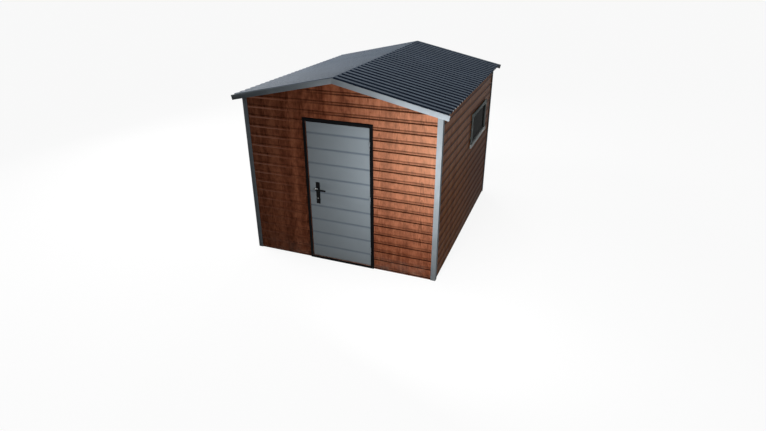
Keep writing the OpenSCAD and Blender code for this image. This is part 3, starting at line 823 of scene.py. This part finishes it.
def make_screw_tree():
    """Hexagon heads on round washers."""
    tree, given, spots = spot_tree(
        "hexagon_screws",
        [("Head Width", 0.008), ("Head Height", 0.004), ("Washer Width", 0.015), ("Washer Height", 0.0015)],
    )

    def cone(sides, width, top, bottom, depth):
        """A blunt cone whose radii are shares of a width."""
        sizes = {
            "Vertices": sides,
            "Radius Top": calc(tree, "MULTIPLY", width, top),
            "Radius Bottom": calc(tree, "MULTIPLY", width, bottom),
            "Depth": depth,
        }
        return put(tree, "GeometryNodeMeshCone", sizes).outputs[0]

    washer = cone(16, given["Washer Width"], 0.42, 0.5, given["Washer Height"])
    head = cone(6, given["Head Width"], 0.54, 0.577, given["Head Height"])
    both = put(tree, "GeometryNodeJoinGeometry")
    tree.links.new(washer, both.inputs[0])
    tree.links.new(raised(tree, head, given["Washer Height"]), both.inputs[0])
    tree.links.new(both.outputs[0], spots.inputs["Instance"])


def make_rivet_tree():
    """Low smooth domes."""
    tree, given, spots = spot_tree("dome_rivets", [("Width", 0.0085), ("Height", 0.0024)])
    ball = put(tree, "GeometryNodeMeshUVSphere", {"Segments": 12, "Rings": 8, "Radius": 1.0})
    radius = half(tree, given["Width"])
    size = joined(tree, radius, radius, given["Height"])
    flat = put(tree, "GeometryNodeTransform", {"Geometry": ball.outputs[0], "Scale": size})
    smooth = put(tree, "GeometryNodeSetShadeSmooth", {0: flat.outputs[0]})
    tree.links.new(smooth.outputs[0], spots.inputs["Instance"])


def make_weld_tree():
    """Overlapping ripples along lines."""
    rows = [("Geometry", GEOMETRY, None), ("Width", FLOAT, 0.006), ("Seed", WHOLE, 7), ("Material", MATERIAL, None)]
    tree, given, out = new_group("weld_beads", rows, [("Geometry", GEOMETRY, None)], "GeometryNodeTree")
    line = put(tree, "GeometryNodeMeshToCurve", {0: given["Geometry"]})
    apart = calc(tree, "MULTIPLY", given["Width"], 0.45)
    even = put(tree, "GeometryNodeResampleCurve", {0: line.outputs[0], "Length": apart}, mode="LENGTH")
    ball = put(tree, "GeometryNodeMeshIcoSphere", {"Radius": half(tree, given["Width"]), "Subdivisions": 1})
    size = put(tree, "FunctionNodeRandomValue", {2: 0.75, 3: 1.15, "Seed": given["Seed"]}, data_type="FLOAT")
    ripples = {"Points": even.outputs[0], "Instance": ball.outputs[0], "Scale": size.outputs[1]}
    spots = put(tree, "GeometryNodeInstanceOnPoints", ripples)
    real = put(tree, "GeometryNodeRealizeInstances", {0: spots.outputs[0]})
    smooth = put(tree, "GeometryNodeSetShadeSmooth", {0: real.outputs[0]})
    set_coat(tree, smooth.outputs[0], given, out)


def grown(name, base, tree_name, values, body):
    """Runs a geometry tree over a base mesh and keeps the plain result as a piece."""
    tree = bpy.data.node_groups[tree_name]
    maker = bpy.data.objects.new(name + "_maker", base)
    bpy.context.scene.collection.objects.link(maker)
    modifier = maker.modifiers.new(tree_name, "NODES")
    modifier.node_group = tree
    for item in tree.interface.items_tree:
        if item.item_type == "SOCKET" and item.in_out == "INPUT" and item.name in values:
            modifier[item.identifier] = values[item.name]
    bpy.context.view_layer.update()
    graph = bpy.context.evaluated_depsgraph_get()
    mesh = bpy.data.meshes.new_from_object(maker.evaluated_get(graph))
    maker.modifiers.clear()
    bpy.data.objects.remove(maker)
    mesh.name = name
    if not len(mesh.polygons) or not len(mesh.materials):
        raise RuntimeError(f"{name}: the tree gave no finished mesh")
    return finished(name, mesh, body)


def spots_mesh(name, spots):
    """A mesh of loose points, each with the way it faces."""
    mesh = bpy.data.meshes.new(name)
    mesh.from_pydata([p for p, _ in spots], [], [])
    facing = mesh.attributes.new("facing", "FLOAT_VECTOR", "POINT")
    facing.data.foreach_set("vector", [c for _, n in spots for c in n])
    return mesh


def lines_mesh(name, lines):
    """A mesh of loose lines."""
    mesh = bpy.data.meshes.new(name)
    points = [p for line in lines for p in line]
    mesh.from_pydata(points, [(2 * i, 2 * i + 1) for i in range(len(lines))], [])
    return mesh


def screws(name, spots, material, body, scale=1.0):
    f = bpy.context.scene.shed_fixings
    values = {
        "Head Width": f.screw_head * scale,
        "Head Height": f.screw_height * scale,
        "Washer Width": f.washer * scale,
        "Washer Height": f.washer_height * scale,
        "Seed": f.seed,
        "Material": material,
    }
    return grown(name, spots_mesh(name, spots), "hexagon_screws", values, body)


def rivets(name, spots, material, body, scale=1.0):
    f = bpy.context.scene.shed_fixings
    values = {"Width": f.rivet * scale, "Height": f.rivet_height * scale, "Seed": f.seed, "Material": material}
    return grown(name, spots_mesh(name, spots), "dome_rivets", values, body)


def steps(low, high, step, inset):
    """Evenly spaced values from low to high, kept in from both ends."""
    low, high = low + inset, high - inset
    count = max(1, round((high - low) / step))
    return [low + (high - low) * i / count for i in range(count + 1)]


def coated(nodes, material):
    """Gives a material to CAD nodes."""
    for name in nodes:
        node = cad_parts[name]
        for i in range(len(node.data.materials)):
            node.data.materials[i] = material


def made(name):
    return bpy.data.materials[name]


def on_slope(side, run, y, drop):
    """A point of the roof: run down the slope, drop square to it from the ribs' tops."""
    pitch = bpy.context.scene.shed_sheets.roof_pitch
    x = run * math.cos(pitch) - drop * math.sin(pitch)
    z = cad_box[1].z - run * math.sin(pitch) - drop * math.cos(pitch)
    return (side * x, y, z)


def roof_normal(side):
    """The way a roof slope faces."""
    pitch = bpy.context.scene.shed_sheets.roof_pitch
    return (side * math.sin(pitch), 0, math.cos(pitch))


# Operators


class ShedOperator:
    bl_options = {"REGISTER", "UNDO"}


class SHED_OT_prepare(ShedOperator, bpy.types.Operator):
    """Build the shared node groups of the finishes and repeats"""

    bl_idname = "shed.prepare"
    bl_label = "Prepare node groups"

    def execute(self, context):
        for make in (make_wood_print, make_folds, make_weather, make_coat, make_inside):
            make()
        for make in (make_screw_tree, make_rivet_tree, make_weld_tree):
            make()
        return {"FINISHED"}


class SHED_OT_finishes(ShedOperator, bpy.types.Operator):
    """Make the finishes and give them to the CAD nodes"""

    bl_idname = "shed.finishes"
    bl_label = "Finishes"

    def execute(self, context):
        c = context.scene.shed_colours
        coated(GABLES, wood_print("wood_print_gable", "gable", gloss=0.003))
        coated(SIDES, wood_print("wood_print_side", "side", gloss=0.022))
        coated(("front_wall_sill",), wood_print("wood_print_flat"))
        # The roof sheets carry different painted shade: full on the flanks of the right sheet, a quarter on the left
        # one.
        coated(ROOF[:1], roof_coat("graphite_roof_left", 0.25, 0.95))
        coated(ROOF[1:], roof_coat("graphite_roof_right", 1.0, 0.0))
        coated(("window_glass",), tinted_glass())
        coated(("handle_plates", "lever_grips"), moulded("black_moulding", c.black, rough=0.40, gloss=0.05))
        coated(("lever_spindle", "lock_cylinder"), bright_metal("nickel_plate", c.metal))
        bright_metal("dull_nickel", scaled(c.metal, 0.22))
        moulded("black_rubber", scaled(c.black, 1.6), rough=0.62)
        moulded("grey_foam", c.foam, rough=0.7)
        for nodes, name, base, values in (
            (CORNERS, "grey_trim_coat", c.trims, {"rough": 0.50, "gloss": 0.02}),
            (BARGES, "grey_barge_coat", c.barges, {"rough": 0.50, "gloss": 0.02}),
            (DOOR_FRAME, "black_frame_coat", c.black, {"gloss": 0.03, "dust": 0.0, "splash": 0.2}),
            (
                ("door_leaf",),
                "grey_door_coat",
                c.door,
                {"rough": 0.48, "gloss": 0.66, "dust": 0.25, "mottle": 0.04, "grooves": True},
            ),
            (
                ("hinge_leaf_halves",),
                "grey_hinge_coat",
                c.door,
                {"rough": 0.48, "gloss": 0.66, "dust": 0.2, "mottle": 0.04},
            ),
            (("hinge_frame_halves",), "black_hinge_coat", c.black, {"rough": 0.42, "gloss": 0.05, "dust": 0.0}),
            (("window_casing",), "casing_coat", c.casing, {"rough": 0.5, "gloss": 0.02, "dust": 0.4}),
            # A lighter copy of the casing coat: painted light on the casing faces that look to the front.
            ((), "casing_painted_light_coat", scaled(c.casing, 1.6), {"rough": 0.5, "gloss": 0.02, "dust": 0.1}),
            (("window_sill",), "sill_coat", c.sill, {"gloss": 0.04, "dust": 0.4}),
            (("window_frame",), "window_bar_coat", c.sash, {"gloss": 0.01, "dust": 0.0}),
            (TUBES, "grey_primer", c.primer, {"rough": 0.55, "gloss": 0.3, "dust": 0.9, "mottle": 0.16}),
            (LINING, "brown_lining_coat", c.lining, {"rough": 0.5, "gloss": 0.1, "dust": 0.6}),
            ((), "wall_screw_coat", c.wood_mid, {"gloss": 0.1, "dust": 0.3}),
            ((), "roof_screw_coat", c.roofing, {"gloss": 0.1, "dust": 0.2}),
            ((), "keyhole_painted_shade", c.keyway_shade, {"rough": 0.6, "gloss": 0.1, "dust": 0.0}),
        ):
            coated(nodes, painted(name, base, **values))
        return {"FINISHED"}


class SHED_OT_trims(ShedOperator, bpy.types.Operator):
    """Fold the corner and barge trims with rounded bends and rivet them"""

    bl_idname = "shed.trims"
    bl_label = "Trims"

    def execute(self, context):
        f, s = context.scene.shed_fixings, context.scene.shed_sheets
        for names, slot, coat in (
            (CORNERS, "corner_trim", "grey_trim_coat"),
            (BARGES, "barge_trim", "grey_barge_coat"),
        ):
            for name in names:
                softened([name], name + "_folded", "shed", made(coat), f.fold_edge)
        spots = []
        for name in CORNERS:
            low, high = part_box(name)
            sx, sy = 1 if low.x > 0 else -1, 1 if low.y > 0 else -1
            x, y = (max(abs(low[i]), abs(high[i])) for i in (0, 1))
            for z in steps(low.z, high.z, f.rivet_step, 0.08):
                spots.append(((sx * (x - f.rivet_in), sy * y, z), (0, sy, 0)))
                spots.append(((sx * x, sy * (y - f.rivet_in), z), (sx, 0, 0)))
        rivets("corner_trim_rivets", spots, made("grey_trim_coat"), "shed")
        spots = []
        run = abs(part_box(BARGES[0])[0].x) / math.cos(s.roof_pitch)
        sunk = 0.0024
        for sy in (-1, 1):
            for side in (-1, 1):
                for down in steps(0, run, f.rivet_step, 0.12):
                    x, y, z = on_slope(side, down, sy * cad_box[1].y, s.barge_middle)
                    spots.append(((x, y - sy * sunk, z), (0, sy, 0)))
        rivets("barge_trim_rivets", spots, made("grey_barge_coat"), "shed")
        return {"FINISHED"}


class SHED_OT_wall_screws(ShedOperator, bpy.types.Operator):
    """Screw the wall sheets to the tubes behind them"""

    bl_idname = "shed.wall_screws"
    bl_label = "Wall screws"

    def execute(self, context):
        s = context.scene.shed_sheets
        foot = s.rib_lower + s.rib_crest + s.rib_upper
        pan = s.rib_first + foot + (s.rib_pitch - foot) / 2
        reach = (abs(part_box("left_wall")[1].x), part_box("rear_wall")[0].y)
        door_side, door_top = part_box("door_frame_right")[1].x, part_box("door_frame_top")[1].z
        touching, shortest, below_top = 0.002, 1, 0.05
        upper_row = pan + 16 * s.rib_pitch
        spots = []

        def screw(axis, side, along, z):
            """One screw in a wall that faces along x (0) or y (1)."""
            spot, normal = [along, along, z], [0, 0, 0]
            spot[axis], normal[axis] = side * (reach[axis] + s.sheet), side
            spots.append((tuple(spot), tuple(normal)))

        for low, high in solids("wall_studs") + solids("door_posts"):
            centre = (low + high) / 2
            for axis in (0, 1):
                side = 1 if centre[axis] > 0 else -1
                outer = max(abs(low[axis]), abs(high[axis]))
                if abs(outer - reach[axis]) > touching or high.z - low.z < shortest:
                    continue
                at_door = axis == 1 and side < 0 and abs(centre.x) < door_side
                rows = range(0, math.ceil((high.z - below_top - pan) / s.rib_pitch), 2)
                for z in (pan + k * s.rib_pitch for k in rows):
                    if not (at_door and z < door_top):
                        screw(axis, side, centre[1 - axis], z)
        for side in (-1, 1):
            for y in steps(-1.40, 1.40, 0.48, 0.10):
                for z in (pan, upper_row):
                    screw(0, side, y, z)
            for x in steps(-1.15, 1.15, 0.46, 0.10):
                if side > 0 or abs(x) >= 0.46:
                    screw(1, side, x, pan)
        screws("wall_screws", spots, made("wall_screw_coat"), "shed")
        return {"FINISHED"}


class SHED_OT_roof_screws(ShedOperator, bpy.types.Operator):
    """Screw the roof sheets to the purlins and eave rails"""

    bl_idname = "shed.roof_screws"
    bl_label = "Roof screws"

    def execute(self, context):
        s = context.scene.shed_sheets
        nearest_ridge = 0.06
        runs = set()
        for low, high in solids("roof_purlins") + solids("eave_rails"):
            centre = abs((low.x + high.x) / 2)
            runs.add(round(max(centre, nearest_ridge) / math.cos(s.roof_pitch), 4))
        valley = s.roof_rib_first + s.roof_rib_foot + (s.roof_rib_pitch - s.roof_rib_foot) / 2
        count = int((-s.roof_rib_first - valley) / s.roof_rib_pitch)
        spots = [
            (on_slope(side, run, valley + k * s.roof_rib_pitch, s.roof_rib_height), roof_normal(side))
            for side in (-1, 1)
            for run in sorted(runs)
            for k in range(0, count + 1, 2)
        ]
        screws("roof_screws", spots, made("roof_screw_coat"), "shed", scale=1.1)
        return {"FINISHED"}


class SHED_OT_tube_frame(ShedOperator, bpy.types.Operator):
    """Round the corners of the square tubes and weld their joints"""

    bl_idname = "shed.tube_frame"
    bl_label = "Tube frame"

    def execute(self, context):
        f = context.scene.shed_fixings
        edge = f.tube_edge
        for names, slot, coat in ((TUBES, "frame", "grey_primer"), (LINING, "door_lining", "brown_lining_coat")):
            for name in names:
                softened([name], name + "_tubes", "shed", made(coat), edge)
        inner_x, inner_y = 1.23, 1.48
        lines = []
        for node in ("corner_posts", "wall_studs", "door_posts"):
            for low, high in solids(node):
                (ax, ay), (bx, by) = (low.x + edge, low.y + edge), (high.x - edge, high.y - edge)
                corners = [(ax, ay), (bx, ay), (bx, by), (ax, by)]
                for p, q in zip(corners, corners[1:] + corners[:1]):
                    if abs(p[0] + q[0]) / 2 < inner_x and abs(p[1] + q[1]) / 2 < inner_y:
                        lines.append(((*p, low.z), (*q, low.z)))
        values = {"Width": f.bead, "Seed": f.seed, "Material": made("grey_primer")}
        grown("frame_welds", lines_mesh("frame_welds", lines), "weld_beads", values, "shed")
        return {"FINISHED"}


class SHED_OT_door(ShedOperator, bpy.types.Operator):
    """Round the door's bars, leaf and hinge barrels, and add its seal"""

    bl_idname = "shed.door"
    bl_label = "Door"

    def execute(self, context):
        f = context.scene.shed_fixings
        bars = softened(
            list(DOOR_FRAME), "door_frame_bars", "shed", made("black_frame_coat"), f.bar_edge
        )
        edge_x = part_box("door_frame_right")[0].x
        edge_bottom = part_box("door_frame_bottom")[1].z
        near = 0.02

        def in_opening(at, way):
            """Faces of the left bar and the bottom bar that look into the doorway."""
            side = way.x > 0.9 and -edge_x - near < at.x < 0
            return side or (way.z > 0.9 and abs(at.z - edge_bottom) < near)

        # Painted light and shade: only the lit inner faces of the left and bottom bars get the brown lining coat; the
        # shaded inner faces of the right and top bars keep the black coat.
        recoated(bars, made("brown_lining_coat"), in_opening)
        softened(["door_leaf"], "door_leaf_skin", "door", made("grey_door_coat"), f.bar_edge)
        low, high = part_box("door_leaf")
        sheet_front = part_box("front_wall_sill")[0].y
        middle = ((low.x + high.x) / 2, sheet_front, (low.z + high.z) / 2)
        gap = (edge_x - high.x) * 0.9
        half_w, half_h = (high.x - low.x) / 2 + gap, (high.z - low.z) / 2 + gap
        work = bmesh.new()
        ring(work, middle, (1, 0, 0), (0, 0, 1), (0, -1, 0), half_w, half_h, DOOR_SEAL)
        finished("door_seal", mesh_of("door_seal", work), "shed", made("black_rubber"))
        for name, body in (("hinge_leaf_halves", "door"), ("hinge_frame_halves", "shed")):
            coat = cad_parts[name].data.materials[0]
            barrels = softened([name], name.replace("halves", "barrels"), body, coat, f.barrel_edge)
            recoated(barrels, made("grey_hinge_coat"), lambda at, way: at.x < edge_x + 0.002)
        return {"FINISHED"}


class SHED_OT_handle(ShedOperator, bpy.types.Operator):
    """Round the handle plates, levers and lock, and add their screws, collars, rims and key slots"""

    bl_idname = "shed.handle"
    bl_label = "Handle and lock"

    def execute(self, context):
        f = context.scene.shed_fixings
        black, bright, dull = made("black_moulding"), made("nickel_plate"), made("dull_nickel")
        softened(["handle_plates"], "handle_backplates", "door", black, f.bar_edge, angle=60)
        softened(["lever_spindle"], "lever_necks", "lever", bright, f.fold_edge, angle=60)
        softened(["lever_grips"], "lever_handles", "lever", black, f.grip_edge, 4, angle=60)
        softened(["lock_cylinder"], "lock_barrel", "door", dull, f.fold_edge, angle=60)
        lever, lock = solids("lever_spindle")[0], solids("lock_cylinder")[0]
        axis = (lever[0] + lever[1]) / 2
        eye = (lock[0] + lock[1]) / 2
        screw_in, rim_w, rim_h = 0.016, 0.005, 0.004
        slot_w, slot_h, slot_out = 0.0008, 0.0038, 0.0004
        heads, collars, necks, slots, rims = (bmesh.new() for _ in range(5))
        plates = sorted(solids("handle_plates"), key=lambda box: box[0].y)
        for (low, high), side in zip(plates, (-1, 1)):
            out = (0, side, 0)
            face, back = (low.y, high.y) if side < 0 else (high.y, low.y)
            grip, end = (lever[0].y, lock[0].y) if side < 0 else (lever[1].y, lock[1].y)
            x = (low.x + high.x) / 2
            for z in (low.z + screw_in, high.z - screw_in):
                lathe(heads, (x, face, z), out, PLATE_SCREW, 20)
            lathe(collars, (x, face, axis.z), out, LEVER_COLLAR, 32)
            half_w, half_h = (high.x - low.x) / 2 + rim_w, (high.z - low.z) / 2 + rim_h
            ring(rims, (x, back, (low.z + high.z) / 2), (1, 0, 0), (0, 0, 1), out, half_w, half_h, PLATE_RIM)
            reach = abs(grip - face) - 0.003
            neck = (
                (0.0090, 0.0075),
                (0.0130, 0.0080),
                (0.0150, 0.0100),
                (0.0165, 0.0180),
                (0.0165, reach - 0.004),
                (0.0140, reach),
                (0.0090, reach),
                (0.0090, 0.0075),
            )
            lathe(necks, (x, face, axis.z), out, neck, 32)
            # Painted shade: each key slot is a thin dark box on the lock's face in place of the keyway's hole.
            first, last = sorted((end, end + side * slot_out))
            box_mesh(slots, (eye.x - slot_w, first, eye.z - slot_h), (eye.x + slot_w, last, eye.z + slot_h))
        for name, work, body, slot, coat in (
            ("plate_rims", rims, "door", "handle", black),
            ("plate_screws", heads, "door", "handle", black),
            ("lever_collars", collars, "door", "handle", black),
            ("lever_shoulders", necks, "lever", "lock", bright),
            ("key_slots", slots, "door", "lock", made("keyhole_painted_shade")),
        ):
            finished(name, mesh_of(name, work), body, coat)
        return {"FINISHED"}


class SHED_OT_window(ShedOperator, bpy.types.Operator):
    """Round the window's casing, bars and sill, and add its seals, rivets and rib fillers"""

    bl_idname = "shed.window"
    bl_label = "Window"

    def execute(self, context):
        f, s = context.scene.shed_fixings, context.scene.shed_sheets
        for node, name, slot, width in (
            ("window_casing", "window_casing_strips", "casing", f.casing_edge),
            ("window_frame", "window_bars", "window_frame", f.bar_edge),
            ("window_sill", "window_sill_nose", "sill", f.bar_edge),
        ):
            piece = softened([node], name, "shed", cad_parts[node].data.materials[0], width)
            # Painted light: the casing faces that look to the front get the lighter copy of the casing coat.
            if node == "window_casing":
                recoated(piece, made("casing_painted_light_coat"), lambda at, way: way.y < -0.7)
        low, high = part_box("window_glass")
        play = 0.0001
        half_w, half_h = (high.y - low.y) / 2 - play, (high.z - low.z) / 2 - play
        work = bmesh.new()
        for face, side in ((high.x, 1), (low.x, -1)):
            middle = (face, (low.y + high.y) / 2, (low.z + high.z) / 2)
            ring(work, middle, (0, 1, 0), (0, 0, 1), (side, 0, 0), half_w, half_h, PANE_SEAL)
        finished("window_seals", mesh_of("window_seals", work), "shed", made("black_rubber"))
        low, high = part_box("window_casing")
        rivet_in = 0.025
        spots = [((high.x, y, high.z - rivet_in), (1, 0, 0)) for y in steps(low.y, high.y, 0.30, 0.06)]
        for z in steps(low.z, high.z, 0.16, 0.05):
            if z < high.z - 0.06:
                spots += [((high.x, y, z), (1, 0, 0)) for y in (low.y + rivet_in, high.y - rivet_in)]
        rivets("casing_rivets", spots, made("casing_coat"), "shed", scale=0.85)
        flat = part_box("right_wall_front")[1].x - s.rib_depth
        front = high.x - 0.003
        work = bmesh.new()
        for k in range(int((high.z - s.rib_first) / s.rib_pitch) + 1):
            foot = s.rib_first + k * s.rib_pitch
            if not low.z < foot + s.rib_lower < high.z - 0.02:
                continue
            crest, crest_end = foot + s.rib_lower, foot + s.rib_lower + s.rib_crest
            outline = (
                (flat, foot + 0.002),
                (flat + s.rib_depth, crest),
                (front, crest + 0.001),
                (front, crest_end - 0.001),
                (flat + s.rib_depth, crest_end),
                (flat, crest_end + s.rib_upper - 0.002),
            )
            for end, y in ((-1, low.y), (1, high.y)):
                near, far = ([work.verts.new((px, y + end * d, pz)) for px, pz in outline] for d in (0.0002, 0.0080))
                work.faces.new(near)
                work.faces.new(far)
                for i in range(len(outline)):
                    j = (i + 1) % len(outline)
                    work.faces.new([near[i], near[j], far[j], far[i]])
        bmesh.ops.recalc_face_normals(work, faces=work.faces)
        finished("rib_end_fillers", mesh_of("rib_end_fillers", work), "shed", made("grey_foam"))
        return {"FINISHED"}


class SHED_OT_stage(ShedOperator, bpy.types.Operator):
    """Set the camera, the lamps, the surroundings and the floor"""

    bl_idname = "shed.stage"
    bl_label = "Camera, lamps and floor"

    def execute(self, context):
        scene, g = context.scene, context.scene.shed_stage
        scene.view_settings.view_transform = "Standard"
        data = bpy.data.cameras.new("camera")
        data.lens, data.sensor_width, data.clip_end = g.lens, 36.0, 200.0
        camera = bpy.data.objects.new("camera", data)
        camera.location = g.camera
        camera.rotation_euler = Vector(g.aim).to_track_quat("-Z", "Y").to_euler()
        scene.collection.objects.link(camera)
        scene.camera = camera

        def lamp(name, kind, place, aim, **values):
            light = bpy.data.lights.new(name, kind)
            for key, value in values.items():
                setattr(light, key, value)
            obj = bpy.data.objects.new(name, light)
            obj.location = place
            obj.rotation_euler = (Vector(aim) - Vector(place)).to_track_quat("-Z", "Y").to_euler()
            scene.collection.objects.link(obj)
            obj.visible_camera = False
            return obj

        ahead = Vector(g.key_place) + Vector(g.key_aim)
        key = lamp("key_lamp", "AREA", g.key_place, ahead, energy=g.key, shape="DISK", size=0.4)
        key.visible_glossy = False
        lamp("overhead_light", "SUN", (-1.2, 1.0, 6.0), (0, 0, 0), energy=g.overhead, angle=math.radians(35))
        for name, place, aim, power in (
            ("rear_fill", (-2.5, 6.5, 3.6), (0, 1.0, 1.2), g.fill),
            ("left_fill", (-6.5, 1.6, 3.2), (-1.0, 0.6, 1.2), g.fill),
            ("right_fill", (4.0, -2.0, 2.6), (1.25, -1.0, 1.5), g.right_fill),
            ("roof_fill", (-4.4, -0.9, 5.2), (-0.7, -0.4, 2.2), g.roof_fill),
        ):
            lamp(name, "AREA", place, aim, energy=power, shape="DISK", size=1.6).visible_glossy = False

        def seen(tree):
            path = put(tree, "ShaderNodeLightPath").outputs
            either = calc(tree, "MAXIMUM", path["Is Camera Ray"], path["Is Glossy Ray"])
            return calc(tree, "MAXIMUM", either, path["Is Transmission Ray"])

        world = bpy.data.worlds.new("surroundings")
        scene.world = world
        world.use_nodes = True
        tree = world.node_tree
        back = next(n for n in tree.nodes if n.type == "BACKGROUND")
        tree.links.new(blend(tree, seen(tree), g.sky, (g.white,) * 3), back.inputs["Color"])

        work = bmesh.new()
        bmesh.ops.create_grid(work, x_segments=2, y_segments=2, size=60)
        floor = bpy.data.objects.new("floor", mesh_of("floor", work))
        scene.collection.objects.link(floor)
        ground = bpy.data.materials.new("pale_floor")
        ground.use_nodes = True
        tree = ground.node_tree
        tree.nodes.clear()
        lit = put(tree, "ShaderNodeBsdfDiffuse", {"Color": rgba((g.floor_shade,) * 3)})
        own = put(tree, "ShaderNodeEmission", {"Color": (1, 1, 1, 1), "Strength": g.floor_glow})
        both = put(tree, "ShaderNodeAddShader", {0: lit.outputs[0], 1: own.outputs[0]})
        grey = put(tree, "ShaderNodeBsdfDiffuse", {"Color": rgba((g.floor,) * 3)})
        mixed = put(tree, "ShaderNodeMixShader", {0: seen(tree), 1: grey.outputs[0], 2: both.outputs[0]})
        put(tree, "ShaderNodeOutputMaterial", {"Surface": mixed.outputs[0]})
        floor.data.materials.append(ground)
        return {"FINISHED"}


OPERATORS = (
    SHED_OT_prepare,
    SHED_OT_finishes,
    SHED_OT_trims,
    SHED_OT_wall_screws,
    SHED_OT_roof_screws,
    SHED_OT_tube_frame,
    SHED_OT_door,
    SHED_OT_handle,
    SHED_OT_window,
    SHED_OT_stage,
)


class SHED_PT_panel(bpy.types.Panel):
    """Lists the steps that build the shed's looks"""

    bl_idname = "SHED_PT_panel"
    bl_label = "Garden shed"
    bl_space_type = "VIEW_3D"
    bl_region_type = "UI"
    bl_category = "Shed"

    def draw(self, context):
        for operator in OPERATORS:
            self.layout.operator(operator.bl_idname)


GROUPS = {
    "shed_sheets": ShedSheets,
    "shed_fixings": ShedFixings,
    "shed_colours": ShedColours,
    "shed_stage": ShedStage,
}
CLASSES = (*GROUPS.values(), *OPERATORS, SHED_PT_panel)


def register():
    for cls in CLASSES:
        bpy.utils.register_class(cls)
    for name, cls in GROUPS.items():
        setattr(bpy.types.Scene, name, PointerProperty(type=cls))


def unregister():
    for name in GROUPS:
        delattr(bpy.types.Scene, name)
    for cls in reversed(CLASSES):
        bpy.utils.unregister_class(cls)


def main():
    register()
    for operator in OPERATORS:
        getattr(bpy.ops.shed, operator.bl_idname.split(".")[1])()


if __name__ == "__main__":
    main()
